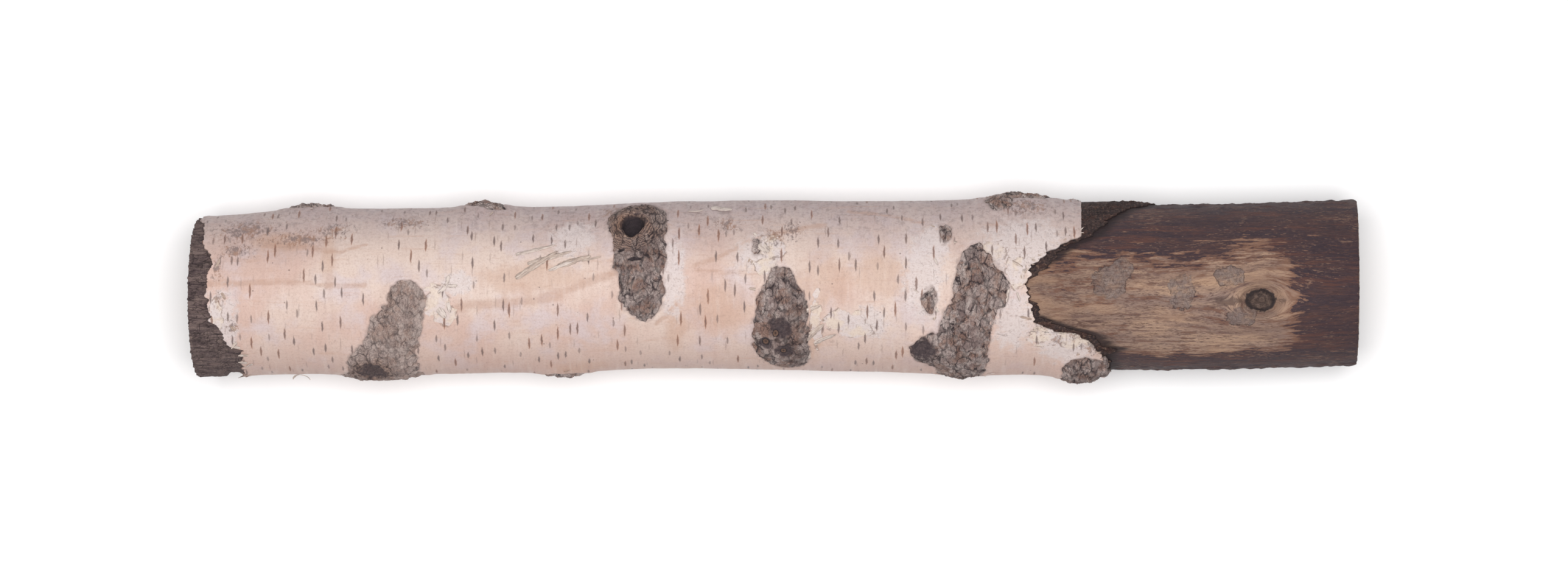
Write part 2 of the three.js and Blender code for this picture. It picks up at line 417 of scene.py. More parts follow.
def bast_places(x, turn, layer):
    tear = outline(BAST_TEAR, turn)
    jag = outline(BAST_TEAR, turn, 2.2, 2.0, seed=12) - tear
    at = x + (tear - BAST_MEAN) * smoothstep(x, BAST_MEAN - FOLLOW, BAST_MEAN)
    at = at + jag * np.exp((x - BAST_MEAN) / 3)
    at = at - 0.7 * np.abs(lumps(x, turn, 1.8, 4, seed=18)) * np.exp(-(x + HALF) / 1.2)
    outer = smoothstep(layer, 1.2, 1.8)
    fibre = lumps(at, turn, 1.3, 3, along=7, seed=14)
    crumb = lumps(at, turn, 1.6, 4, seed=15)
    open_end = smoothstep(-at, 225, 235)
    torn_end = smoothstep(x, BAST_MEAN - 25, BAST_MEAN - 8)
    block = lumps(at, turn, 3.2, 3, seed=16)
    relief = open_end * (0.4 * fibre + 0.25 * crumb) + torn_end * (0.8 * crumb + 0.6 * block)
    plate = 0.7 * open_end * smoothstep(-at, 238.0, 238.8) * (1 - smoothstep(turn, -38, -33))
    plate = plate * smoothstep(turn, -120, -112)
    out = between(WOOD_RADIUS, at) + BAST_OUT + np.minimum(relief, 0.8) + plate
    out = out - 0.9 * open_end * (1 - smoothstep(-at, 236.6, 238.6)) * smoothstep(-turn, 36, 42)
    thin = 0.75 * smoothstep(x, BAST_MEAN - 7, BAST_MEAN)
    skin = (1 - thin) * out + thin * (between(WOOD_RADIUS, at) + 0.5 + 0.3 * crumb)
    radius = outer * skin + (1 - outer) * (between(WOOD_RADIUS, at) + BAST_IN)
    return at, radius


def bast_ends(x, turn, layer):
    return ((x > BAST_MEAN - 22) | (x < -220)) & (layer > 1.02)


def bast_tip(x, turn, layer):
    return ((x > BAST_MEAN - 10) | (x < -226)) & (layer > 1.5)


lines = [(x, 2) for x in steps(-HALF, -224, STEP)]
lines += [(x, 2) for x in steps(-212, 100, COARSE_STEP)]
lines += [(x, 2) for x in steps(102, BAST_MEAN, STEP)]
lines += [(x, 1) for x in steps(BAST_MEAN, -HALF, COARSE_STEP)] + [(-HALF, 2)]
bm = roll(lines, COLUMNS, (bast_ends, bast_tip))
x, turn, layer = nominal(bm)
x, radius = bast_places(x, turn, layer)
wrap_log(bm, x, turn, radius)
bast = finish_piece(bm, "inner_bark")
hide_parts("bark")

# %% [markdown]
# The billet is the same kind of tube, closed at both ends: its rows start on the pith, run out
# to the rim across one saw cut, along the flank, and back to the pith across the other.

# %% The wood
KNOT = [205.6, -10.0, 6.2, 4.8]  # x, turn, half length, half width of the pruned knot
BARE_FROM = 98.0
CAP_ROWS = 19  # from the pith to the rim of a saw cut
WOOD_STEP = 0.95
WOOD_COLUMNS = 240


def wood_relief(x, turn):
    grain = 0.07 * lumps(x, turn, 0.9, 3, along=16, seed=21)
    uneven = 0.22 * lumps(x, turn, 14, 3, along=2.5, seed=22)
    ring = np.hypot((x - KNOT[0]) / KNOT[2], round_the_log(turn, KNOT[1]) / KNOT[3])
    knot = 0.5 * np.exp(-((ring - 1.35) / 0.45) ** 2) - 0.9 * np.exp(-((ring - 0.92) / 0.16) ** 2)
    knot = knot - 0.35 * (1 - smoothstep(ring, 0.6, 0.9)) + 0.25 * np.exp(-(ring / 3) ** 2)
    scraps = lumps(x, turn, 3.0, 4, along=2.2, seed=24)
    crust = smoothstep(np.abs(turn), 60, 80) * np.maximum(scraps - 0.05, 0) * 0.9
    return grain + uneven + knot + crust


def wood_places(x, turn, layer):
    bare = smoothstep(x, BARE_FROM, BARE_FROM + 4)
    edge = HALF - np.abs(x)
    worn = 0.5 * np.exp(-edge / 0.8) * (x > 0)
    radius = between(WOOD_RADIUS, x) + bare * wood_relief(x, turn) - worn
    saw = 0.12 * lumps(radius * layer * np.sin(np.radians(turn)), 0 * turn, 1.6, 3, seed=31)
    chip = 1.6 * smoothstep(layer, 0.93, 1.0) * lumps(x, turn, 2.4, 4, seed=32)
    capped = (edge < 1e-3) * np.sign(x)
    shift = np.where(capped != 0, -(0.1 + np.abs(saw) + np.abs(chip) * bare) * capped, 0)
    return x + shift, radius * layer


def wood_knot_zone(x, turn, layer):
    near = np.hypot(x - KNOT[0], round_the_log(turn, KNOT[1]))
    return (near < 12) & (layer > 0.99)


lines = [(-HALF, s) for s in np.linspace(0, 1, CAP_ROWS)]
lines += [(x, 1) for x in steps(-HALF + 1, BARE_FROM, 20)]
lines += [(x, 1) for x in steps(BARE_FROM + 1, HALF - 1.5, WOOD_STEP)] + [(HALF - 0.6, 1)]
lines += [(HALF, s) for s in np.linspace(1, 0, CAP_ROWS)]
bm = roll(lines, WOOD_COLUMNS, (wood_knot_zone,))
x, turn, layer = nominal(bm)
x, radius = wood_places(x, turn, np.minimum(layer, 1))
wrap_log(bm, x, turn, radius, bare_cut_leans=True)
wood = finish_piece(bm, "wood_billet")
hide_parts("wood")

# %% [markdown]
# A crust is a corky plug that has pushed up through the paper. Each one is a fine flat grid cut
# to its outline, extruded into a thin slab, and laid on the swelling: domed, cracked into
# plates, and wrinkled into rings round the eyes. Its rim dips under the paper. Modelling it
# apart from the paper keeps the fine faces where the detail is.

# %% Scar crusts
CRUST_STEP = 0.42
CRUST_RIM = 0.9
RING_STEP = 1.1  # from ring to ring, in millimetres
SLIT_DEPTH = 0.9


def flakes(x, turn, size, seed):
    """Scales that each lean their own way: the lean, and 0 in the cracks to 1 on the scales."""
    bend_x = 0.5 * size * lumps(x, turn, size * 1.5, 2, seed=seed)
    bend_turn = 40 / CORE_RADIUS * size * lumps(x, turn, size * 1.5, 2, seed=seed + 5)
    angle = np.radians(turn + bend_turn)
    places = np.column_stack([x + bend_x, CORE_RADIUS * np.sin(angle) / 1.5,
                              CORE_RADIUS * np.cos(angle) / 1.5]) / size + seed
    lean, edge = np.zeros(len(places)), np.zeros(len(places))
    for i, place in enumerate(places.tolist()):
        far, points = noise.voronoi(place)
        heading = noise.cell_vector(points[0] * 97) * 2 - Vector((1, 1, 1))
        lean[i] = (Vector(place) - points[0]).dot(heading)
        edge[i] = far[1] - far[0]
    return lean, smoothstep(edge, 0.0, 0.22)


def crust_relief(scar, x, turn, depth, seed):
    """The height of a crust's surface, how open it is to the light, and its rings and eyes."""
    away, far = eye_distance(scar, x, turn)
    lean, coarse = flakes(x, turn, 3.6, seed)
    small_lean, fine = flakes(x, turn, 1.7, seed + 2)
    rough = lumps(x, turn, 3.2, 5, seed=seed)
    wavy = far + 2.0 * lumps(x, turn, 7, 4, seed=seed + 3)
    ringed = scar["rings"] * np.exp(-(np.maximum(far - 4, 0) / 12) ** 2)
    rings = 0.5 + 0.5 * np.sin(wavy * 2 * math.pi / RING_STEP)
    cover = smoothstep(depth, 0.1, 1.8)
    relief = 0.85 * lean + 0.35 * small_lean + 0.3 * coarse + 0.12 * fine
    relief = (1 - 0.7 * ringed) * relief + 0.3 * ringed * rings + 0.42 * rough
    relief = relief * (0.25 + 0.75 * smoothstep(away, 0.8, 1.25))
    crater = 0.45 * np.exp(-((away - 1.25) / 0.35) ** 2) - 0.9 * np.exp(-(away / 0.85) ** 2)
    # Openness is low in the crust's hollows and high on its tops. The material paints shade and a
    # highlight from it.
    openness = np.clip(0.35 + 0.5 * relief + 0.15 * coarse, 0, 1)
    height = cover * (relief + 0.8 * crater) + 0.9 * smoothstep(depth, 0.5, 7)
    return height, openness, away, wavy, ringed


def crust(name, scar, seed):
    lobes = np.array(scar["lobes"])
    reach_turn = np.degrees(lobes[:, 3] / CORE_RADIUS) + 5
    low = np.array([(lobes[:, 0] - lobes[:, 2]).min() - 2, (lobes[:, 1] - reach_turn).min()])
    high = np.array([(lobes[:, 0] + lobes[:, 2]).max() + 2, (lobes[:, 1] + reach_turn).max()])
    size = high - low
    bm = bmesh.new()
    bmesh.ops.create_grid(bm, x_segments=int(size[0] / CRUST_STEP),
                          y_segments=int(math.radians(size[1]) * CORE_RADIUS / CRUST_STEP),
                          size=0.5)
    bmesh.ops.scale(bm, vec=(size[0], size[1], 1), verts=bm.verts)
    bmesh.ops.translate(bm, vec=(*(low + high) / 2, 0), verts=bm.verts)
    x, turn, _ = np.array([v.co for v in bm.verts]).T
    outside = inside(scar, x, turn) < -CRUST_RIM
    bmesh.ops.delete(bm, geom=[v for v, out in zip(bm.verts, outside) if out], context="VERTS")
    top = bmesh.ops.extrude_face_region(bm, geom=bm.faces[:])["geom"]
    for v in top:
        if isinstance(v, bmesh.types.BMVert):
            v.co.z = 1
    x, turn, layer = np.array([v.co for v in bm.verts]).T
    depth = inside(scar, x, turn)
    relief, openness, away, wavy, ringed = crust_relief(scar, x, turn, depth, seed)
    skin = bark_surface(x, turn) - 1.1 + 1.25 * smoothstep(depth, -0.9, 0.7)
    hole = hollow(x, turn) if scar is SCARS["collar"] else np.zeros(len(x))
    skin = skin - HOLLOW_DEPTH * hole
    skin = skin - scar["pressed"] * smoothstep(depth, 0, 3)
    slits = np.zeros(len(x))
    for at, centre, half_x, half_turn in scar["slits"]:
        off = np.hypot((x - at) / half_x, round_the_log(turn, centre) / half_turn)
        slits = np.maximum(slits, 1 - smoothstep(off, 0.6, 1.1))
    relief = relief - SLIT_DEPTH * slits
    skin = np.where(layer > 0.5, skin + relief, between(WOOD_RADIUS, x) + 0.2)
    wrap_log(bm, x, turn, skin)
    piece = finish_piece(bm, "scar_" + name)
    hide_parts("bark")
    bud = np.full(len(x), 4.0)
    for at, centre, radius in scar["buds"]:
        bud = np.minimum(bud, np.hypot(x - at, round_the_log(turn, centre)) / radius)
    right = scar["darker_side"] * smoothstep(x - lobes[0, 0], -2, 7)
    masks = dict(openness=openness, eye_radii=np.clip(away, 0, 4), ring_place=np.clip(wavy, 0, 40),
                 ringed=ringed, scar_depth=depth, bud=bud, shade=scar["shade"] + right,
                 hole=np.maximum(hole, slits))
    for label, values in masks.items():
        mark(piece, label, values)
    return piece


crusts = [crust(name, scar, 31 + 3 * i) for i, (name, scar) in enumerate(SCARS.items())]

# %% [markdown]
# Loose paper gives birch its ragged outline. A strip is a small grid bent by formula: it starts
# flat on the bark, heads off in its own direction, lifts, and rolls over at the tip. A few are
# listed where the bark was scraped, and the rest are scattered along the torn edges
# and round the scars, always from the same seed.

# %% Slivers and curls of paper
STRIP_THICKNESS = 0.12
STRIP_MARKS = ("tone", "along", "across")  # what the material of loose paper reads
# [x, turn, heading in degrees from +X towards +Y, length, width, lift at the tip, tone]
SLIVERS = [[-112, 25, 13, 18, 1.6, 0.4, 0.5], [-107, 18, 15, 20, 2.2, 0.25, 0.3],
           [-112, 8, 33, 22, 2.6, 0.3, 0.2], [-94, 16, 15, 15, 2.4, 0.3, 0.1],
           [-98, 13, 19, 12, 1.6, 0.3, 0.6], [-84, 19, 8, 9, 1.0, 0.5, 0.2],
           [11.5, -17, 22, 8, 1.6, 0.9, 0.4], [10, -39, 42, 14, 2.6, 0.8, 0.3],
           [15, -41, 28, 12, 1.8, 0.9, 0.5],
           [-29, 66, -25, 11, 4.0, 0.8, 0.7], [-39, 60, -8, 9, 0.9, 1.6, 0.6],
           [-8, 29, -50, 7, 3.5, 1.2, 0.6], [-145, -12, -50, 6, 2.6, 1.6, 0.75],
           [-141, -8, -75, 5, 1.8, 1.2, 0.7], [-141.5, 4, 75, 4.5, 1.7, 0.7, 0.75],
           [-141, 3, 5, 4.5, 1.4, 0.6, 0.75], [-141.5, 3, -140, 5, 1.5, 0.8, 0.7],
           [-176, -86, -60, 8, 1.6, 1.8, 0.3], [-208, -88, -20, 8, 1.2, 2.4, 0.3],
           [-207, -86, -130, 6, 1.4, 2.0, 0.3], [104, 13, 150, 6, 1.0, 1.4, 0.2],
           [66.5, 19, -65, 4, 0.8, 1.2, 0.7], [98, -1, -100, 6, 1.3, 0.9, 0.5],
           [101.5, -3, -70, 4.5, 0.9, 1.3, 0.6], [108, -21, 165, 6, 1.0, 0.9, 0.95],
           [-240, 21, 60, 4, 1.2, 1.3, 0.9], [-237.5, 2, -60, 4, 1.2, 1.2, 0.95],
           [-232, -26, 120, 4, 1.6, 1.4, 0.95]]
SCATTERED = 150
OFF_RIM = 1.5


def strip(bm, x, turn, heading, length, width, lift, tone):
    """Adds one bent strip to bm. Its vertices keep its tone, and how far along and across."""
    made = bmesh.ops.create_grid(bm, x_segments=16, y_segments=3, size=0.5)["verts"]
    share, across = np.array([v.co[:2] for v in made]).T
    share = share + 0.5
    taper = smoothstep(share, -0.15, 0.12) * (1 - 0.8 * share ** 4)
    torn = lumps(share * length, 90 * across + turn, 1.8, 3, seed=17)
    across = across * width * taper * (1 + 0.5 * torn)
    run = share * length * (1 - 0.25 * min(lift, 2) * share ** 2 / 2)
    angle = math.radians(heading)
    at = x + run * math.cos(angle) - across * math.sin(angle)
    goes = np.degrees((run * math.sin(angle) + across * math.cos(angle)) / CORE_RADIUS)
    height = 0.12 + lift * share ** 2.2 + 0.3 * np.abs(across) * lift / 2 * share
    places = lay(at, turn + goes, bark_surface(at, turn + goes) + height, 0)
    layers = [bm.verts.layers.float[name] for name in STRIP_MARKS]
    for v, place, *values in zip(made, places, 0 * share + tone, run, across):
        v.co = place
        for layer, value in zip(layers, values):
            v[layer] = value


def scattered_strips(draw):
    """Small curls along both torn edges and round the scars."""
    scars = list(SCARS.values())
    for i in range(SCATTERED):
        turn = draw.uniform(-180, 180)
        kind = i % 3
        if kind == 0:
            x = float(outline(PAPER_TEAR, np.array([turn]))[0]) - draw.uniform(0.5, 3)
            heading = draw.gauss(0, 40)
        elif kind == 1:
            x = float(outline(PAPER_PEEL, np.array([turn]))[0]) + draw.uniform(0.5, 3)
            heading = draw.gauss(180, 40)
        else:
            at, centre, half_x, half_turn = draw.choice(draw.choice(scars)["lobes"])
            angle = draw.uniform(0, 2 * math.pi)
            x = at + (half_x + OFF_RIM) * math.cos(angle)
            turn = centre + math.degrees((half_turn + OFF_RIM) / CORE_RADIUS) * math.sin(angle)
            heading = math.degrees(angle) + draw.gauss(0, 35)
        clear = any_scar(np.array([x]), np.array([turn]))[0] < 0.2
        size = 0.5 if kind == 0 else 1.0
        if clear and PEEL_MEAN + 2 < x < float(outline(PAPER_TEAR, np.array([turn]))[0]) - 0.3:
            yield [x, turn, heading, size * draw.uniform(1.5, 4.5), size * draw.uniform(0.5, 1.7),
                   draw.uniform(0.1, 0.9)]


bm = bmesh.new()
for name in STRIP_MARKS:
    bm.verts.layers.float.new(name)
draw = random.Random(11)
for values in SLIVERS:
    strip(bm, *values)
for values in scattered_strips(draw):
    strip(bm, *values, tone=draw.random())
bmesh.ops.solidify(bm, geom=bm.faces[:], thickness=-STRIP_THICKNESS * MM)
curls = finish_piece(bm, "paper_curls")
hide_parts("bark")

# %% [markdown]
# Every pattern is measured in millimetres on the log. Noise reads Object coordinates, which have
# no seam. What runs round the log, such as the lenticels, reads a map of the surface: how far
# along, and how far round.

# %% The surface map
def surface_places(piece):
    """The x, the turn and the distance from the pith of each vertex of a piece."""
    places = np.array([v.co for v in piece.data.vertices]) / MM - np.array(PITH) / MM
    side = places[:, 1] - between(SIDEWAYS_BEND, places[:, 0])
    return places[:, 0], np.degrees(np.arctan2(side, places[:, 2])), np.hypot(side, places[:, 2])


def map_surface(piece):
    """A UV map in millimetres: along the log, and round it on the core's radius."""
    mesh = piece.data
    x, turn, _ = surface_places(piece)
    layer = mesh.uv_layers.new(name="surface")
    corner = np.zeros(len(mesh.loops), int)
    mesh.loops.foreach_get("vertex_index", corner)
    first = np.zeros(len(mesh.polygons), int)
    count = np.zeros(len(mesh.polygons), int)
    mesh.polygons.foreach_get("loop_start", first)
    mesh.polygons.foreach_get("loop_total", count)
    start_turn = np.repeat(turn[corner[first]], count)
    whole = start_turn + (turn[corner] - start_turn + 180) % 360 - 180
    uv = np.column_stack([x[corner], np.radians(whole) * CORE_RADIUS])
    layer.data.foreach_set("uv", uv.astype(np.float32).ravel())


for piece in [paper, bast, wood, curls, *crusts]:
    map_surface(piece)
print("mapped", 4 + len(crusts), "pieces")

# %% [markdown]
# The zones that differ in colour are worked out once, on the mesh, as soft masks from 0 to 1.
# The materials then break their edges up with fine noise, so that a mask needs no fine mesh.
# Most zones are a few listed spots. Those with a turn past 90 either way are on the sides
# and underneath.

# %% Zones on the paper and on the wood
# Each spot is [x, turn, half length, half width]. Whitish places, where the top papers flake:
FLAKING = [[-238, -20, 7, 15], [-137, 5, 7, 5], [-45, 6, 5, 16], [-88, 36, 9, 9],
           [62, 8, 8, 18], [66, 30, 7, 9], [105, 30, 16, 12], [116, 10, 7, 12],
           [124, -38, 12, 12], [100, -22, 8, 12], [-8, 22, 9, 8], [40, -24, 6, 7],
           [-20, 150, 14, 12], [30, -150, 16, 12], [-170, 130, 16, 14], [-220, -140, 12, 12]]
# Cream places with a crisp rim, where they have come off. The paper's material paints a thin
# shadow along that rim:
PEELED = [[-146, -7, 6, 5.5], [-142, -17, 4.5, 5], [-240, -14, 2.5, 8], [29, -24, 8, 4.5],
          [34, -30, 6, 4], [16, -24, 2.2, 13], [-3, 26, 6, 5], [-5, 13, 5, 4],
          [112, -33, 5, 4], [127, -36, 6, 5], [92, 24, 5, 4], [101, 10, 4, 6],
          [-30, 140, 6, 5], [-110, -130, 8, 6], [70, 120, 7, 5]]
# Warm tan places, where an inner paper shows:
TAN = [[-215, 38, 12, 5], [-192, 22, 3, 12], [-106, 8, 20, 6], [15, -30, 3, 17],
       [-24, -14, 13, 9], [47, 7, 16, 8], [20, 3, 12, 9], [-44, -30, 4, 12],
       [-86, -70, 12, 5], [60, -140, 20, 10], [-120, 150, 16, 8]]
# Grey and brown dirt, which breaks up into crumbs:
DIRT = [[-228, 52, 16, 9], [-205, 40, 14, 5], [-190, 47, 10, 6], [-232, 33, 9, 5],
        [-160, 55, 12, 5], [-72, 60, 5, 6], [-22, 45, 7, 5], [-2, 34, 5, 5], [6, 40, 5, 6],
        [106, 62, 12, 6], [112, -27, 4, 4], [127, -31, 4, 5], [119, -37, 4, 3],
        [134, -42, 4, 6], [-240, 18, 3, 6], [-233, -22, 3, 4], [-239, -4, 2, 5],
        [-150, -100, 14, 7], [40, 100, 16, 7], [-70, 120, 12, 8], [90, -110, 12, 8]]
# Faint brown smears, each [x, turn, x, turn, half width], from one place to another:
SMEARS = [[-137, -13, -92, -3, 2.6], [-92, -3, -69, 9, 2.0], [-36, 13, -8, 34, 1.3],
          [-8, 34, 20, 45, 1.2], [-35, 10, -8, 8, 0.9], [-243, 12, -205, 6, 1.6],
          [-205, 6, -176, 6, 1.2], [-220, 36, -188, 30, 1.8], [-188, 30, -176, 36, 1.0],
          [30, 60, 62, 48, 1.2], [-52, -28, -40, -10, 1.2]]
# Grey flaking scraps on the bare wood, as spots:
SCRAPS = [[141, 3, 8.5, 8], [147, 13, 5, 6], [172, -3, 6.5, 9], [192.5, 7, 7.5, 4.8],
          [198, -21, 7, 5], [150, 160, 12, 10], [200, -140, 10, 12]]


def blots(spots, x, turn):
    """The highest of some soft round spots: 1 in the middle, 0.5 at the rim, 0 well outside."""
    most = 0 * x
    for at, centre, half_x, half_turn in spots:
        away = np.hypot((x - at) / half_x, round_the_log(turn, centre) / half_turn)
        most = np.maximum(most, np.clip(1 - away / 2, 0, 1))
    return most


def smears(lines, x, turn):
    """The highest of some soft straight lines: 1 on the line, 0.5 at its half width."""
    most = 0 * x
    turn = turn + 4 * lumps(x, turn, 22, 3, seed=41)
    for start, start_turn, stop, stop_turn, half in lines:
        goes_x, goes_round = stop - start, math.radians(stop_turn - start_turn) * CORE_RADIUS
        off_x, off_round = x - start, round_the_log(turn, start_turn)
        share = (off_x * goes_x + off_round * goes_round) / (goes_x ** 2 + goes_round ** 2)
        share = np.clip(share, 0, 1)
        away = np.hypot(off_x - share * goes_x, off_round - share * goes_round)
        most = np.maximum(most, np.clip(1 - away / half / 2, 0, 1))
    return most


x, turn, _ = surface_places(paper)
for label, spots in dict(flaking=FLAKING, peeled=PEELED, tan=TAN, dirt=DIRT).items():
    mark(paper, label, blots(spots, x, turn))
mark(paper, "smears", smears(SMEARS, x, turn))

x, turn, _ = surface_places(bast)
mark(bast, "torn_end", smoothstep(x, 60, 100))

# The clean window: its upper edge climbs to the right, and it closes before the bare saw cut.
x, turn, from_pith = surface_places(wood)
mark(wood, "scraps", blots(SCRAPS, x, turn))
mark(wood, "from_pith", from_pith)
top = 6 * smoothstep(x, 168, 200) - 8
clean = 1 - smoothstep(turn - top, 0, 54) * (1 - smoothstep(turn, 150, 178))
clean = clean * (1 - smoothstep(-turn, 44, 62) * (1 - smoothstep(-turn, 140, 172)))
clean = clean * (1 - smoothstep(x, 211, 229))
mark(wood, "stain", 1 - clean)
# A dark fringe on the wood along the torn bark: partly stain, partly the bark's shadow painted in.
reach = 5 + 7 * smoothstep(np.abs(turn + 2), 10, 30)
bark_stain_and_shadow = smoothstep(outline(BAST_TEAR, turn) + reach - x, 0, reach + 1)
bark_stain_and_shadow = bark_stain_and_shadow * (0.4 + 0.6 * smoothstep(np.abs(turn + 2), 12, 26))
mark(wood, "bark_stain_and_shadow", bark_stain_and_shadow)
off_x, off_round = x - KNOT[0], round_the_log(turn, KNOT[1])
ring = np.hypot(off_x / KNOT[2], off_round / KNOT[3])
mark(wood, "knot", np.clip(ring / 4, 0, 1))
tail = np.exp(-((off_x + 13) / 9) ** 2 - (off_round / (1.2 - 0.16 * (off_x + 6))) ** 2)
short_tail = 0.6 * np.exp(-((off_x - 9) / 4) ** 2 - (off_round / 2.2) ** 2)
mark(wood, "knot_tail", np.where(off_x < 0, tail, short_tail))

# %% [markdown]
# A node tree is easier to read as sentences than as wires, so this small helper adds a node,
# fills its inputs with numbers, colours or other nodes' outputs, and hands its output back.
# Most of a bark is then two kinds of sentence: a sum of patterns, and colours laid one over
# another, each where some pattern says so.


# %% A short way to write node trees
LIGHT = 1.28  # the lights show a white wall this much too bright, so colours are set lower
BUMP_REACH = 1 * MM
SPECULAR = 0.3


def paint(red, green, blue):
    """A colour as it should look when lit, 0 to 255, as the linear numbers that nodes use."""
    share = np.array([red, green, blue]) / 255
    linear = np.where(share < 0.04045, share / 12.92, ((share + 0.055) / 1.055) ** 2.4)
    return (*map(float, linear / LIGHT), 1.0)


class Nodes:
    def __init__(self, tree):
        self.tree = tree

    def fill(self, node, inputs):
        for name, value in inputs.items():
            if isinstance(value, bpy.types.NodeSocket):
                self.tree.links.new(value, node.inputs[name])
            else:
                node.inputs[name].default_value = value
        return node

    def add(self, kind, inputs=None, out=0, **settings):
        node = self.tree.nodes.new("ShaderNode" + kind)
        for name, value in settings.items():
            setattr(node, name, value)
        return self.fill(node, inputs or {}).outputs[out]

    def split(self, kind, value):
        """The three parts of a vector, XYZ, or of a colour, Color."""
        return self.add("Separate" + kind, {0: value}).node.outputs

    def math(self, operation, a, b=0.0, c=0.0):
        return self.add("Math", {0: a, 1: b, 2: c}, operation=operation)

    def times(self, first, *others):
        for other in others:
            first = self.math("MULTIPLY", first, other)
        return first

    def centred(self, value):
        """A noise that swings about 0, not about a half."""
        return self.math("SUBTRACT", value, 0.5)

    def total(self, *terms):
        """A sum. Each term is a value, or a pair of a value and how much of it counts."""
        result = None
        for term in terms:
            value, share = term if isinstance(term, tuple) else (term, 1)
            if abs(share) != 1:
                value = self.math("MULTIPLY", value, abs(share))
            if result is None:
                result = value
            else:
                result = self.math("ADD" if share > 0 else "SUBTRACT", result, value)
        return result

    def vector(self, operation, a, b=(0, 0, 0), c=(0, 0, 0)):
        return self.add("VectorMath", {0: a, 1: b, 2: c}, operation=operation)

    def noise(self, place, size, detail=3.0, rough=0.5, distortion=0.0):
        inputs = {"Vector": place, "Scale": 1.0 / size, "Detail": detail, "Roughness": rough,
                  "Distortion": distortion}
        return self.add("TexNoise", inputs)

    def step(self, value, low, high, start=0.0, end=1.0):
        inputs = {"Value": value, "From Min": low, "From Max": high, "To Min": start,
                  "To Max": end}
        return self.add("MapRange", inputs, interpolation_type="SMOOTHSTEP")

    def mix(self, share, a, b):
        a, b = (paint(*c) if isinstance(c, tuple) else c for c in (a, b))
        return self.add("Mix", {0: share, 6: a, 7: b}, out=2, data_type="RGBA")

    def tints(self, colour, *layers):
        """Lays colours over a first one. A layer is a value, a rule and a colour. The rule is a
        strength, or low, high and strength: the layer starts at low and is full at high."""
        for value, *rule, over in layers:
            if len(rule) == 1:
                share = self.times(value, rule[0])
            else:
                share = self.step(value, rule[0], rule[1], 0, rule[2])
            colour = self.mix(share, colour, over)
        return colour

    def mask(self, name):
        return self.add("Attribute", out=2, attribute_type="GEOMETRY", attribute_name=name)

    def place(self, along=1.0, across=1.0):
        """Object coordinates in millimetres, squeezed by these amounts."""
        own = self.add("TexCoord", out=3)
        scale = (1000 / along, 1000 / across, 1000 / across)
        return self.add("Mapping", {"Vector": own, "Scale": scale}, vector_type="POINT")

    def group(self, tree, *values):
        """Adds a group, fills its inputs in their order, and hands all its outputs back."""
        node = self.tree.nodes.new("ShaderNodeGroup")
        node.node_tree = tree
        return list(self.fill(node, dict(enumerate(values))).outputs)


def new_group(name, inputs, outputs):
    """A node group, its helper, its inputs and its end node. An input of None is a vector."""
    tree = bpy.data.node_groups.new(name, "ShaderNodeTree")
    for label, default in inputs.items():
        kind = "NodeSocketVector" if default is None else "NodeSocketFloat"
        socket = tree.interface.new_socket(label, in_out="INPUT", socket_type=kind)
        if default is not None:
            socket.default_value = default
    for label in outputs:
        tree.interface.new_socket(label, in_out="OUTPUT", socket_type="NodeSocketFloat")
    given = tree.nodes.new("NodeGroupInput").outputs
    return tree, Nodes(tree), given, tree.nodes.new("NodeGroupOutput")


def new_material(name):
    """A material with a plain Principled shader, and the helper for its nodes."""
    material = bpy.data.materials.new(name)
    material.use_nodes = True
    return material, Nodes(material.node_tree), material.node_tree.nodes["Principled BSDF"]


def finish_material(n, shader, colour, height, bump, roughness):
    """Joins the colour, the bumps and the roughness to the shader."""
    relief = n.add("Bump", {"Height": height, "Strength": bump, "Distance": BUMP_REACH})
    n.fill(shader, {"Base Color": colour, "Roughness": roughness, "Normal": relief})
    shader.inputs["Specular IOR Level"].default_value = SPECULAR


# %% [markdown]
# Lenticels are the pores of the bark: short dark spindles that lie across the trunk. The surface
# map is cut into cells, and each cell may hold one spindle, at a random place and length.
# The number of cells round the log is whole, and the numbering wraps, so no seam shows.

# %% The lenticel group
AROUND = 2 * math.pi * CORE_RADIUS
lenticels, n, given, end = new_group(
    "lenticels",
    {"Surface": None, "Place": None, "Spacing": 4.0, "Cells Around": 18.0, "Share": 0.3,
     "Half Width": 0.5, "Longest": 3.9, "Seed": 0.0},
    ("Mask", "Tone", "Core"))
surface = n.split("XYZ", given["Surface"])
cell_height = n.math("DIVIDE", AROUND, given["Cells Around"])
column = n.math("DIVIDE", surface[0], given["Spacing"])
column_index = n.math("FLOOR", column)
stagger = n.add("TexWhiteNoise", {"W": n.total(column_index, given["Seed"])},
                noise_dimensions="1D")
row = n.total(n.math("DIVIDE", surface[1], cell_height), stagger)
row_index = n.math("WRAP", n.math("FLOOR", row), given["Cells Around"], 0.0)
cell = n.add("CombineXYZ", {0: column_index, 1: row_index, 2: given["Seed"]})
chance = n.add("TexWhiteNoise", {"Vector": cell}, noise_dimensions="3D")
shift = n.split("Color", n.add("TexWhiteNoise", {"Vector": n.vector("ADD", cell, (0.5, 0.3, 9.1))},
                               out=1, noise_dimensions="3D"))
wobble = n.times(n.centred(n.noise(given["Place"], 1.6)), 0.75)
centre_along = n.math("MULTIPLY_ADD", shift[0], 0.6, 0.2)
centre_round = n.math("MULTIPLY_ADD", shift[1], 0.3, 0.35)
off_along = n.times(n.total(n.math("FRACT", column), (centre_along, -1)), given["Spacing"])
off_along = n.math("ABSOLUTE", n.total(off_along, wobble))
off_round = n.times(n.total(n.math("FRACT", row), (centre_round, -1)), cell_height)
half_length = n.times(given["Longest"],
                      n.math("MULTIPLY_ADD", n.math("POWER", shift[2], 1.2), 0.5, 0.5))
run = n.math("DIVIDE", off_round, half_length)
width = n.total(1.0, (n.times(run, run), -1))
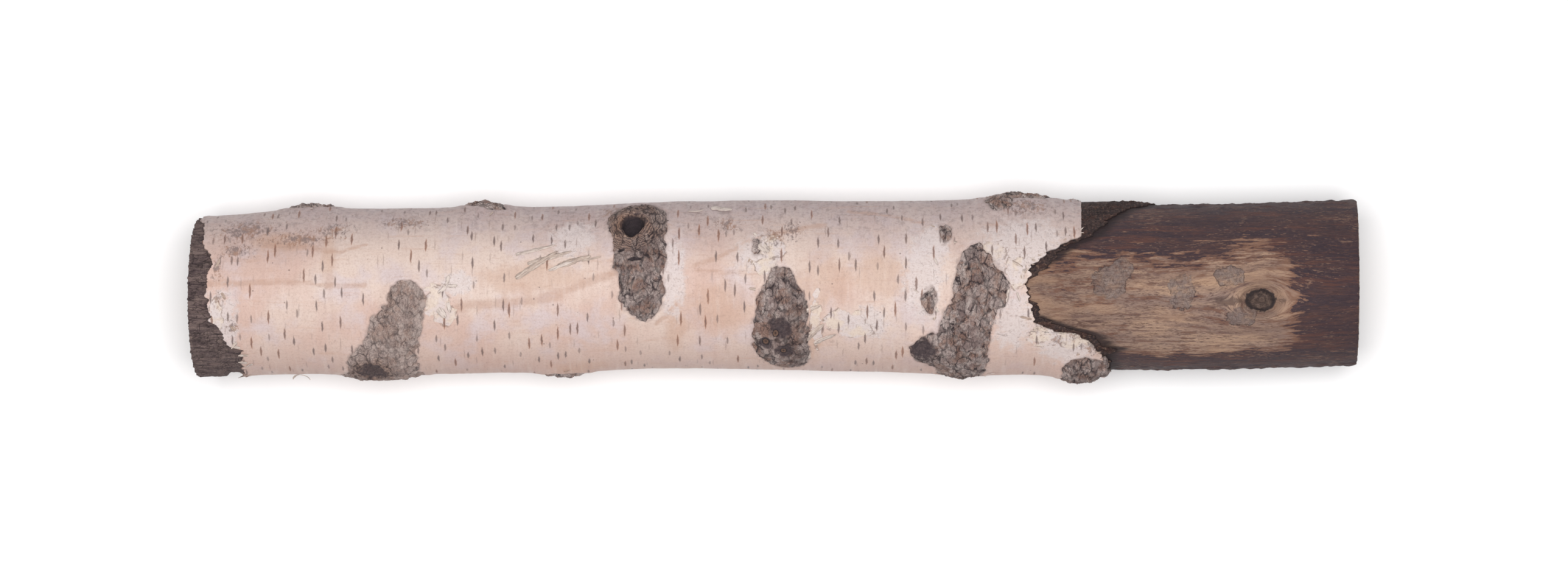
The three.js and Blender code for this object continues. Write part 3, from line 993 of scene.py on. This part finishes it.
width = n.times(n.math("POWER", n.math("MAXIMUM", width, 0.0), 0.8), given["Half Width"])
within = n.total(width, (off_along, -1))
present = n.math("LESS_THAN", chance, given["Share"])
n.fill(end, {"Mask": n.times(n.step(within, -0.12, 0.34), present), "Tone": shift[2],
             "Core": n.times(n.step(within, 0.22, 0.46), present)})

# %% [markdown]
# Corky plates, dry scraps and crumbling inner bark all crack in the same way, so they share one
# group. It hands out the cracks, and a value that differs from plate to plate.

# %% The cracked plates group
cracked, n, given, end = new_group("cracked_plates", {"Place": None, "Size": 2.0, "Crack": 0.08},
                                   ("Cracks", "Plate"))
bent = n.add("TexNoise", {"Vector": given["Place"], "Scale": 0.45, "Detail": 3.0}, out=1)
bent = n.vector("MULTIPLY_ADD", bent, (2.4, 2.4, 2.4), given["Place"])
cells = {"Vector": bent, "Scale": n.math("DIVIDE", 1.0, given["Size"])}
edge = n.add("TexVoronoi", cells, feature="DISTANCE_TO_EDGE")
tone = n.split("Color", n.add("TexVoronoi", cells, out=1))
width = n.times(given["Crack"], n.step(n.noise(given["Place"], 4, 2), 0.36, 0.66, 0.15, 1.9))
n.fill(end, {"Cracks": n.step(edge, 0.0, width, 1.0, 0.0), "Plate": tone[0]})

# %% [markdown]
# Dry bark also creases into fine curved lines that never quite meet. Where a noise passes through
# its middle value, it draws just such lines, so this group keeps only that thin slice of it.

# %% The wrinkles group
wrinkles, n, given, end = new_group("wrinkles", {"Place": None, "Size": 2.0, "Width": 0.03},
                                    ("Lines",))
scale = n.math("DIVIDE", 1.0, given["Size"])
narrow = n.times(given["Width"], 0.3)
found = []
for shift, share in ((0.0, 1.0), (37.0, 1.45)):
    field = n.noise(n.vector("ADD", given["Place"], (shift, shift, shift)), 1, 1.2, 0.5, 0.5)
    n.fill(field.node, {"Scale": n.times(scale, share)})
    near = n.math("ABSOLUTE", n.centred(field))
    found.append(n.step(near, narrow, given["Width"], 1.0, 0.0))
n.fill(end, {"Lines": n.math("MAXIMUM", *found)})

# %% [markdown]
# Wood and inner bark are bundles of fibres along the log. This group draws them as noise that is
# stretched along X at two scales. The place may be bent first, as grain bends round a knot.

# %% The fibre group
fibres, n, given, end = new_group("fibres", {"Place": None, "Width": 0.5, "Length": 20.0},
                                  ("Fine", "Streaks"))
stretch = n.add("CombineXYZ", {0: n.math("DIVIDE", 1.0, given["Length"]), 1: 1.0, 2: 1.0})
drawn_out = n.vector("MULTIPLY", given["Place"], stretch)
for label, share, detail, rough in (("Fine", 1.0, 4.0, 0.65), ("Streaks", 0.28, 6.0, 0.68)):
    scale = n.math("DIVIDE", share, given["Width"])
    inputs = {"Vector": drawn_out, "Scale": scale, "Detail": detail, "Roughness": rough}
    n.fill(end, {label: n.add("TexNoise", inputs)})

# %% [markdown]
# The paper goes from cream and peach to lilac and grey. Over that lie faint bands round the
# log, painted shade that darkens both flanks (greyer, with grime, towards +Y and warmer towards
# -Y), and places where the top papers have come off, each with a thin painted shadow along its
# edge. Then come fine creases, the lenticels, grey, brown or rust, and last the dirt on them.

# %% Material: paper
paper_look, n, shader = new_material("birch_paper")
place = n.place()
surface = n.add("UVMap", uv_map="surface")
large = n.noise(place, 42)
middling = n.noise(n.vector("ADD", place, (90, 40, 10)), 17, 4, 0.6)
fray = n.noise(place, 3.2, 5, 0.68)
# Painted shade: darker towards both flanks, by the Y of the place. It is greyer, with some grime,
# towards +Y and warmer towards -Y.
flank_shade_and_grime = n.total(n.split("XYZ", place)[1], (large, 22.0))
tan = n.total(n.mask("tan"), (n.noise(place, 7, 5, 0.65), 0.9))
smear = n.total(n.mask("smears"), (n.noise(n.place(3, 1), 2, 5, 0.7), 0.9))
bands = n.noise(n.place(2.2, 16), 1, 4, 0.6)
drift = n.noise(n.place(22, 2.6), 1, 4, 0.6, 0.6)
flaking = n.step(n.total(n.mask("flaking"), (fray, 1.1)), 0.88, 1.22)
colour = n.tints(
    (230, 208, 196), (large, 0.38, 0.62, 1, (219, 187, 174)),
    (middling, 0.46, 0.68, 0.7, (219, 203, 205)),
    (flank_shade_and_grime, 18, 50, 0.85, (184, 167, 168)),
    (flank_shade_and_grime, -6, -30, 0.7, (200, 165, 153)),
    (tan, 0.7, 1.15, 0.45, (204, 165, 141)),
    (smear, 0.78, 1.3, 0.5, (192, 154, 134)),
    (bands, 0.5, 0.75, 0.14, (176, 144, 132)),
    (bands, 0.46, 0.3, 0.14, (240, 226, 218)),
    (drift, 0.56, 0.74, 0.3, (202, 160, 136)),
    (flaking, 0.75, (226, 214, 212)))

chips = n.split("Color", n.add("TexVoronoi", {"Vector": n.place(1.3, 0.9), "Scale": 0.3}, out=1))
peeled = n.total(n.mask("peeled"), (chips[0], 0.3), (fray, 0.5))
bared = n.step(peeled, 0.86, 0.89)
# A thin painted shadow along the edge of each place where the paper has come off.
bared_edge_shadow = n.times(n.step(peeled, 0.80, 0.85), n.step(peeled, 0.93, 0.88),
                    n.step(n.noise(place, 4, 2), 0.45, 0.55))
bared_tone = n.tints((232, 214, 198), (n.noise(place, 5), 0.4, 0.6, 1, (225, 211, 208)))
mottle = n.noise(place, 0.9, 5, 0.75)
fine_drift = n.noise(n.place(9, 0.8), 0.9, 4, 0.65)
# Mottled darkening on the +Y flank: dust, with painted shade.
flank_dust_and_shade = n.times(n.step(flank_shade_and_grime, 22, 46), n.step(n.noise(place, 2.2, 6, 0.75), 0.48, 0.62))
(creases,) = n.group(wrinkles, place, 4.0, 0.02)
where = n.math("MAXIMUM", n.times(flaking, 0.8), n.times(bared, 0.4))
where = n.math("MAXIMUM", where, n.step(n.noise(place, 9), 0.56, 0.66, 0, 0.5))
creases = n.times(creases, where, n.step(n.noise(place, 1.6), 0.5, 0.62))
mask, tone, core = n.group(lenticels, surface, place, 4.0, 18.0, 0.44, 0.58)
small, small_tone, _ = n.group(lenticels, surface, place, 5.3, 15.0, 0.55, 0.36, 3.4, 40.0)
pore = n.tints((146, 126, 120), (tone, 0.6, 0.95, 1, (166, 118, 95)),
               (core, n.step(fray, 0.35, 0.6, 0.3, 0.85), (96, 78, 77)))
dots = n.add("TexVoronoi", {"Vector": place, "Scale": 1 / 7.5})
dirt = n.total(n.mask("dirt"), (n.noise(n.place(1, 1.5), 1.3, 6, 0.78), 3.0))
dirt_tone = n.tints((112, 96, 94), (n.noise(place, 4), 0.42, 0.6, 1, (150, 112, 90)))
specks = n.step(n.noise(n.vector("ADD", place, (3, 70, 5)), 0.7, 3, 0.6), 0.68, 0.74)
rim = n.total(n.mask("scar_depth"), (fray, 2.4))
colour = n.tints(
    colour, (bared, 0.85, bared_tone),
    (bared_edge_shadow, 0.6, (146, 122, 110)),
    (mottle, 0.46, 0.66, 0.3, (170, 142, 132)),
    (n.noise(place, 0.35, 3, 0.7), 0.5, 0.7, 0.2, (150, 126, 118)),
    (fine_drift, 0.54, 0.72, 0.25, (186, 152, 136)),
    (flank_dust_and_shade, 0.5, (134, 120, 118)),
    (creases, 0.5, (146, 124, 118)),
    (small, n.step(small_tone, 0, 1, 0.2, 0.5), (156, 134, 126)),
    (mask, n.step(tone, 0, 0.5, 0.5, 0.85), pore),
    (dots, 0.06, 0.03, 0.6, (86, 66, 62)),
    (dirt, 2.1, 2.45, 0.7, dirt_tone),
    (specks, 0.55, (120, 92, 80)),
    (rim, 0.4, 1.7, 0.55, (160, 141, 136)))
height = n.total((bands, 0.1), (mottle, 0.16), (mask, -0.14), (core, -0.2), (bared, -0.25),
                 (creases, -0.15), (small, -0.06))
finish_material(n, shader, colour, height, 0.6, n.step(bands, 0.3, 0.7, 0.5, 0.66))
paper.data.materials.append(paper_look)

# %% [markdown]
# Crust is light grey and papery at its rim and browner further in. Thin dark lines run between
# its scales and wrinkle its surface. Its low places get painted shade and its high ones a
# painted highlight. Round the dead stub the lines turn into rings, painted lighter on their crests
# and darker in their troughs as highlight and shade, and the eyes are dark and smooth. The
# stub's hole and its slits are painted dark as shade. On one scar three young stubs still show,
# as small tan buds with dark rims.

# %% Material: scar crust
crust_look, n, shader = new_material("corky_crust")
place = n.place(0.85, 1.35)
plain = n.place()
fray = n.centred(n.noise(plain, 1.6, 4, 0.6))
depth = n.total(n.mask("scar_depth"), (n.centred(n.noise(plain, 7)), 9.0))
cracks, plate = n.group(cracked, place, 2.7, 0.05)
slabs, slab = n.group(cracked, place, 4.8, 0.085)
(lines,) = n.group(wrinkles, place, 2.9, 0.021)
(fine_lines,) = n.group(wrinkles, place, 1.3, 0.026)
cloud = n.noise(n.vector("ADD", plain, (5, 1, 9)), 11, 4, 0.6)
dim = n.times(n.mask("shade"), n.step(n.noise(plain, 5, 5, 0.65), 0.36, 0.62, 0.3, 1))
pale = n.step(n.mask("shade"), 0, -1)
calm = n.times(n.step(cloud, 0.4, 0.62, 1, 0.55), n.math("MULTIPLY_ADD", pale, -0.5, 1))
colour = n.tints(
    (204, 186, 180), (depth, 0.5, 7.5, 1, (168, 146, 140)),
    (slab, 0.5, 0.75, 0.6, (198, 180, 174)),
    (slab, 0.35, 0.1, 0.6, (124, 104, 101)),
    (plate, 0.6, 1.0, 0.6, (214, 198, 192)),
    (plate, 0.4, 0.0, 0.4, (122, 101, 98)),
    (cloud, 0.47, 0.33, 0.55, (100, 82, 80)),
    (cloud, 0.54, 0.68, 0.45, (206, 190, 184)),
    (n.noise(plain, 6.5, 5, 0.6), 0.47, 0.6, 0.62, (158, 117, 97)),
    (n.noise(n.place(0.9, 2.5), 2, 5, 0.65), 0.55, 0.7, 0.6, (214, 199, 192)),
    (dim, 0.75, (84, 67, 64)),
    (pale, 0.6, (190, 168, 158)),
    (n.noise(plain, 0.9, 5, 0.7), 0.52, 0.72, 0.3, (100, 83, 81)),
    (fine_lines, 0.3, (88, 72, 73)),
    (n.times(lines, 0.8), calm, (70, 57, 59)),
    (n.times(cracks, 0.6), calm, (66, 53, 55)),
    (n.times(slabs, 0.95), calm, (48, 39, 43)),
    # Painted shade in the crust's low places and a painted highlight on its high ones, from
    # openness.
    (n.mask("openness"), 0.3, 0.06, 0.7, (60, 48, 51)),
    (n.mask("openness"), 0.6, 0.9, 0.2, (208, 192, 184)))

ringed = n.step(n.mask("ringed"), 0.2, 0.75)
wave = n.math("SINE", n.math("MULTIPLY_ADD", n.mask("ring_place"), 2 * math.pi / RING_STEP,
                             n.times(fray, 12.0)))
ring_tone = n.tints((128, 108, 103), (n.mask("ring_place"), 10, 5, 1, (166, 124, 98)))
broken = n.times(ringed, n.step(n.noise(plain, 3, 5, 0.65), 0.36, 0.6, 0.15, 1))
# Paler ring crests and darker ring troughs: painted highlight and painted shade on the ring
# ridges.
light = n.times(n.step(wave, 0.2, 0.95), broken)
dark = n.times(n.step(wave, 0.0, -0.9), broken)
reach = n.total(n.mask("eye_radii"), (fray, 0.7), (n.centred(n.noise(plain, 4, 3, 0.6)), 2.2))
inky = n.tints((66, 55, 60), (n.noise(plain, 1.2, 4, 0.6), 0.4, 0.65, 1, (94, 79, 80)),
               (fine_lines, 0.5, (44, 36, 40)))
bud = n.total(n.mask("bud"), (fray, 0.8))
colour = n.tints(
    colour, (ringed, 0.45, ring_tone),
    (light, 0.4, (190, 160, 138)),
    (dark, 0.75, (62, 50, 52)),
    (n.times(slabs, 0.7), ringed, (48, 39, 43)),
    (reach, 1.5, 0.8, 0.9, inky),
    (bud, 1.35, 1.15, 0.8, (40, 32, 35)),
    (bud, 1.0, 0.8, 0.8, (128, 99, 84)),
    (bud, 0.5, 0.3, 0.8, (60, 46, 44)),
    # Painted shade: the stub's hole and the slits are coloured dark.
    (n.mask("hole"), 0.15, 0.7, 0.9, (54, 46, 50)))
height = n.total(n.noise(plain, 0.7, 5, 0.7), (plate, 0.35), (lines, -0.5), (fine_lines, -0.25),
                 (cracks, -0.4), (slabs, -0.7), (dark, -0.7))
finish_material(n, shader, colour, height, 0.5, n.step(plate, 0, 1, 0.75, 0.95))
for piece in crusts:
    piece.data.materials.append(crust_look)

# %% [markdown]
# Inner bark is fibrous, with short checks across the fibres. Towards the tear it turns darker
# and rusty, with pale crumbs.

# %% Material: inner bark
bast_look, n, shader = new_material("inner_bark")
place = n.place()
fine, streaks = n.group(fibres, place, 0.4, 9.0)
cracks, plate = n.group(cracked, n.place(2.6, 0.8), 1.9, 0.06)
crumbs = n.noise(place, 1.1, 5, 0.7)
rust = n.noise(n.place(2.5, 1), 3.5, 5, 0.65)
pale = n.times(n.step(crumbs, 0.56, 0.64), n.step(rust, 0.44, 0.56, 0.25, 1))
torn_tone = n.tints((44, 34, 37), (crumbs, 0.42, 0.6, 1, (88, 67, 62)),
                    (rust, 0.48, 0.6, 0.6, (92, 58, 48)), (pale, 0.75, (160, 130, 110)))
colour = n.tints(
    (100, 83, 84), (streaks, 0.4, 0.6, 1, (138, 118, 114)),
    (fine, 0.5, 0.68, 0.6, (172, 150, 138)),
    (fine, 0.44, 0.32, 0.5, (66, 53, 56)),
    (plate, 0.7, 0.95, 0.35, (124, 102, 97)),
    (n.noise(place, 6, 4, 0.6), 0.52, 0.64, 0.5, (74, 60, 63)),
    (n.noise(n.place(0.45, 7), 1, 4, 0.6), 0.6, 0.66, 0.6, (48, 38, 42)),
    (crumbs, 0.6, 0.7, 0.5, (168, 148, 138)),
    (n.mask("torn_end"), 0.85, torn_tone),
    (cracks, n.math("MULTIPLY_ADD", n.mask("torn_end"), -0.4, 0.6), (34, 26, 30)))
height = n.total((fine, 0.8), n.noise(place, 0.8, 5, 0.7), (cracks, -0.4))
finish_material(n, shader, colour, height, 0.9, n.step(fine, 0.3, 0.7, 0.8, 0.95))
bast.data.materials.append(bast_look)

# %% [markdown]
# Each strip of loose paper has its own tone, from greyish to pale, and the highest tones are the
# tan of an inner paper. Its streaks follow the strip, whichever way it points.

# %% Material: loose paper
curl_look, n, shader = new_material("loose_paper")
tone = n.mask("tone")
own = n.add("CombineXYZ", {0: n.math("DIVIDE", n.mask("along"), 6.0), 1: n.mask("across"),
                            2: n.times(tone, 40.0)})
streak = n.noise(own, 0.5, 4, 0.65)
colour = n.tints(
    (198, 177, 163), (tone, 0.1, 0.8, 1, (226, 211, 202)),
    (tone, 0.8, 0.92, 0.7, (172, 140, 118)),
    (streak, 0.5, 0.6, 0.7, (152, 134, 128)),
    (streak, 0.44, 0.36, 0.7, (232, 219, 210)))
finish_material(n, shader, colour, streak, 0.3, n.step(streak, 0.3, 0.7, 0.55, 0.75))
curls.data.materials.append(curl_look)

# %% [markdown]
# The bare wood shows fine grain along the log, bent round the pruned knot as water bends round
# a stone. A dark stain covers all but one window of clean tan wood, and its edge breaks up into
# streaks along the grain. Along the torn bark the wood is darker still: stain, with the bark's
# shadow painted in. Grey scraps of the last layer still cling to it, with a thin painted shadow
# along their edges.

# %% Material: bare wood
KNOT_REACH = 7.5
wood_look, n, shader = new_material("bare_wood")
place = n.place()
knot_turn = math.radians(KNOT[1])
from_knot = n.split("XYZ", n.vector("SUBTRACT", n.add("UVMap", uv_map="surface"),
                                    (KNOT[0], knot_turn * CORE_RADIUS, 0)))
away = n.total(n.math("POWER", n.times(from_knot[0], 0.62), 2.0),
               n.math("POWER", from_knot[1], 2.0))
pushed = n.math("DIVIDE", n.times(from_knot[1], -KNOT_REACH ** 2), n.total(away, 3.0))
push = n.add("VectorMath", {0: (0, math.cos(knot_turn), -math.sin(knot_turn)), 3: pushed},
             operation="SCALE")
wander = n.times(n.noise(n.place(30, 12), 1, 2), 3.0)
bent = n.vector("ADD", n.vector("ADD", place, push), n.add("CombineXYZ", {1: wander}))
fine, streaks = n.group(fibres, bent, 0.3, 14.0)
flecks, patches = n.group(fibres, bent, 0.5, 5.0)
torn, wide = n.group(fibres, bent, 1.5, 9.0)
hairs, stripes = n.group(fibres, n.vector("ADD", bent, (0, 31, 17)), 0.28, 7.0)
blotch, rusty = n.group(fibres, n.vector("ADD", bent, (50, 9, 3)), 0.9, 12.0)
cloud = n.noise(n.place(2.4, 1), 9, 4, 0.6)
near_tear = n.step(from_knot[0], -38, -92)
beyond = n.step(from_knot[0], 4, 16)
fleck = n.total(flecks, (n.centred(cloud), 0.35))
brown = n.total((patches, 0.6), (torn, 0.5), (n.mask("stain"), 0.16))
hair = n.total((hairs, 0.6), (stripes, 0.5), (near_tear, 0.035))
warm = n.noise(n.vector("ADD", n.place(2.6, 1), (8, 4, 60)), 11)
ragged = n.total((n.centred(torn), 1.7), (n.centred(patches), 1.5), (n.centred(cloud), 1.5))
soaked = n.total(n.mask("stain"), ragged)
colour = n.tints(
    (184, 151, 127), (wide, 0.4, 0.6, 1, (146, 118, 104)),
    (cloud, 0.42, 0.62, 0.55, (142, 120, 113)),
    (near_tear, 0.75, (134, 108, 95)),
    (streaks, 0.5, 0.66, 0.5, (128, 99, 88)),
    (fine, 0.46, 0.3, 0.5, (198, 168, 143)),
    (fleck, 0.56, 0.64, 0.75, (98, 75, 71)),
    (brown, 0.575, 0.62, 0.75, (112, 86, 80)),
    (hair, 0.58, 0.65, 0.85, (92, 66, 58)),
    (warm, 0.5, 0.66, 0.4, (188, 150, 122)),
    (beyond, 0.45, (134, 104, 92)),
    (soaked, 0.16, 0.44, 0.6, (126, 86, 66)))

glints = n.total(flecks, (n.centred(blotch), 0.6), (n.centred(cloud), 0.6))
dark = n.tints(
    (58, 46, 56), (wide, 0.38, 0.6, 1, (82, 58, 58)),
    (fine, 0.48, 0.64, 0.6, (46, 36, 43)),
    (hair, 0.5, 0.44, 0.55, (118, 82, 65)),
    (fleck, 0.54, 0.66, 0.4, (116, 86, 76)),
    (rusty, 0.5, 0.62, 0.65, (108, 68, 57)),
    (blotch, 0.47, 0.58, 0.65, (54, 43, 54)),
    (glints, 0.62, 0.7, 0.7, (156, 122, 102)))
near_cut = n.step(from_knot[0], 14, 30)
dark = n.mix(n.math("MULTIPLY_ADD", near_cut, 0.08, 0.16), dark, (42, 30, 38))
tail = n.total(n.mask("knot_tail"), (n.centred(fine), 1.6))
stain_and_shadow_fringe = n.total(n.mask("bark_stain_and_shadow"), (n.centred(torn), 0.9))

frayed = n.noise(place, 4, 5, 0.7)
scrap_depth = n.total(n.mask("scraps"), (frayed, 0.6))
scrap = n.step(scrap_depth, 0.84, 0.9)
# A thin painted shadow along the edge of each grey scrap.
scrap_edge_shadow = n.times(n.step(scrap_depth, 0.83, 0.86), n.step(scrap_depth, 0.91, 0.87),
                    n.step(n.noise(place, 6, 2), 0.44, 0.56))
cracks, plate = n.group(cracked, n.place(1.0, 1.2), 3.0, 0.045)
(creases,) = n.group(wrinkles, n.place(0.8, 1.6), 3.0, 0.014)
splits = n.math("MAXIMUM", n.times(cracks, 0.6), creases)
grey = n.tints(
    (130, 114, 110), (plate, 0, 1, 1, (148, 131, 124)),
    (fine, 0.5, 0.66, 0.4, (112, 95, 92)),
    (hair, 0.55, 0.63, 0.6, (98, 82, 78)),
    (splits, 0.7, (74, 60, 60)))

ring = n.total((n.mask("knot"), 4.0), (n.centred(frayed), 0.8))
rings = n.math("SINE", n.times(n.total(ring, n.noise(place, 2.5, 2)), 13.0))
knot_tone = n.tints(
    (84, 67, 61), (rings, -0.5, 0.8, 1, (108, 88, 79)),
    (n.noise(place, 2.2, 5, 0.7), 0.5, 0.6, 0.7, (58, 46, 44)),
    (creases, 0.7, (40, 31, 31)))
dark_ring = n.times(n.step(ring, 0.7, 0.92), n.step(ring, 1.14, 1.0))
halo = n.times(n.step(ring, 1.02, 1.12), n.step(ring, 2.0, 1.1))
colour = n.tints(
    colour, (n.step(soaked, 0.46, 0.6), 0.95, dark),
    (tail, 0.3, 0.75, 0.75, (88, 68, 62)),
    (stain_and_shadow_fringe, 0.25, 0.85, 0.88, (44, 33, 35)),
    (scrap, n.step(frayed, 0.38, 0.6, 0.25, 0.8), grey),
    (scrap_edge_shadow, 0.75, (72, 56, 54)),
    (ring, 1.05, 0.95, 1, knot_tone),
    (dark_ring, 0.9, (44, 34, 35)),
    (halo, 0.35, (104, 78, 66)))
height = n.total((fine, 0.6), (flecks, 0.3), (scrap, 0.35), (n.times(splits, scrap), -0.3))
finish_material(n, shader, colour, height, 0.6, n.step(fine, 0.3, 0.7, 0.62, 0.8))
wood.data.materials.append(wood_look)


# %% [markdown]
# A saw cut shows end grain: growth rings round the pith, fine rays, drying cracks that run out
# from the pith, and the scratches of the saw. The pith isn't at the same place at both ends, so
# each cut gets its own material from one function.

# %% Material: end grain
YEAR = 2.1  # millimetres of wood that grow in a year
CUT_DEPTH = 4  # how near its end a face has to be, to count as part of a saw cut
SHARP_ANGLE = 50


def end_grain(name, x):
    look, n, shader = new_material(name)
    place = n.place()
    pith = ((x * MM + PITH.x) / MM, float(between(SIDEWAYS_BEND, np.array([x]))[0]) + PITH.y / MM,
            PITH.z / MM)
    out = n.vector("MULTIPLY", n.vector("SUBTRACT", place, pith), (0, 1, 1))
    ray = n.vector("NORMALIZE", out)
    from_pith = n.mask("from_pith")
    wavy = n.total(from_pith, (n.noise(place, 14), 2.2))
    late = n.step(n.math("SINE", n.times(wavy, 2 * math.pi / YEAR)), 0.35, 0.98)
    spokes = n.noise(n.vector("MULTIPLY", ray, (30, 30, 30)), 1, 3, 0.7)
    cracks = n.noise(n.vector("ADD", n.vector("MULTIPLY", ray, (2.3, 2.3, 2.3)),
                              n.vector("MULTIPLY", out, (0.012, 0.012, 0.012))), 1, 3, 0.6)
    crack = n.times(n.step(n.math("ABSOLUTE", n.centred(cracks)), 0.012, 0.004),
                    n.step(from_pith, 4, 9), n.step(n.noise(out, 9, 2), 0.42, 0.52))
    saw = n.noise(n.vector("MULTIPLY", place, (1, 2.2, 0.1)), 1, 4, 0.6)
    grey = n.noise(n.vector("ADD", place, (7, 3, 5)), 11, 5, 0.65)
    colour = n.tints(
        (190, 160, 132), (n.noise(place, 16, 4), 0.35, 0.65, 1, (164, 132, 108)),
        (late, 0.35, (128, 96, 76)),
        (spokes, 0.5, 0.7, 0.3, (206, 178, 150)),
        (saw, 0.5, 0.7, 0.35, (140, 112, 94)),
        (grey, 0.48, 0.66, 0.6, (122, 106, 100)),
        (from_pith, 27, 35, 0.75, (92, 70, 62)),
        (from_pith, 2.0, 0.8, 0.8, (88, 62, 50)),
        (crack, 0.9, (44, 33, 30)))
    height = n.total((saw, 0.6), (late, 0.12), (spokes, 0.15), (crack, -1))
    finish_material(n, shader, colour, height, 0.7, n.step(saw, 0.3, 0.7, 0.78, 0.92))
    return look


wood.data.materials.append(end_grain("end_grain_in_bark", -HALF))
wood.data.materials.append(end_grain("end_grain_bare", HALF))
for polygon in wood.data.polygons:
    from_end = HALF * MM - abs(polygon.center.x - PITH.x)
    if abs(polygon.normal.x) > 0.8 and from_end < CUT_DEPTH * MM:
        polygon.material_index = 1 if polygon.center.x < 0 else 2
wood.data.set_sharp_from_angle(angle=math.radians(SHARP_ANGLE))
print(len(bpy.data.materials), "materials")

# %% [markdown]
# The log lies on a plain pale floor, under one large soft light overhead and a pale sky that
# fills the shadows. The camera looks straight down on it from far off, through a long lens.

# %% Floor, light and camera
FLOOR_SIDE = 8.0
CAMERA_HEIGHT = 2.6
CAMERA_X = 2.4 * MM  # the middle of the picture, from the middle of the pith
FRAME_WIDTH = 0.6777  # what the picture takes in, at the height of the pith
SENSOR = 36.0
FLOOR_COLOUR = (0.95, 0.945, 0.947, 1)
LIGHT_PLACE = (0.0, 0.0, 2.2)
LIGHT_SIZE = (1.3, 1.1)
LIGHT_POWER = 52.5
SKY_COLOUR = (1, 0.985, 0.99, 1)
SKY_STRENGTH = 0.335

bm = bmesh.new()
bmesh.ops.create_grid(bm, x_segments=1, y_segments=1, size=FLOOR_SIDE / 2)
floor_mesh = bpy.data.meshes.new("floor")
bm.to_mesh(floor_mesh)
bm.free()
floor = bpy.data.objects.new("floor", floor_mesh)
bpy.context.scene.collection.objects.link(floor)
floor_look, n, shader = new_material("floor")
shader.inputs["Base Color"].default_value = FLOOR_COLOUR
shader.inputs["Roughness"].default_value = 0.9
floor_mesh.materials.append(floor_look)

light = bpy.data.lights.new("overhead", "AREA")
light.shape = "RECTANGLE"
light.size, light.size_y = LIGHT_SIZE
light.energy = LIGHT_POWER
lamp = bpy.data.objects.new("overhead", light)
bpy.context.scene.collection.objects.link(lamp)
lamp.location = LIGHT_PLACE
aim = Vector((0, 0, PITH.z)) - Vector(LIGHT_PLACE)
lamp.rotation_euler = aim.to_track_quat("-Z", "Y").to_euler()
lamp.visible_camera = False

world = bpy.data.worlds.new("studio")
world.use_nodes = True
sky = world.node_tree.nodes["Background"].inputs
sky["Color"].default_value = SKY_COLOUR
sky["Strength"].default_value = SKY_STRENGTH
bpy.context.scene.world = world
bpy.context.scene.view_settings.view_transform = "Standard"

lens = bpy.data.cameras.new("camera")
lens.lens = SENSOR * CAMERA_HEIGHT / FRAME_WIDTH
lens.clip_end = 100
camera = bpy.data.objects.new("camera", lens)
bpy.context.scene.collection.objects.link(camera)
camera.location = (PITH.x + CAMERA_X, PITH.y, PITH.z + CAMERA_HEIGHT)
bpy.context.scene.camera = camera
print(f"lens {lens.lens:.0f} mm")
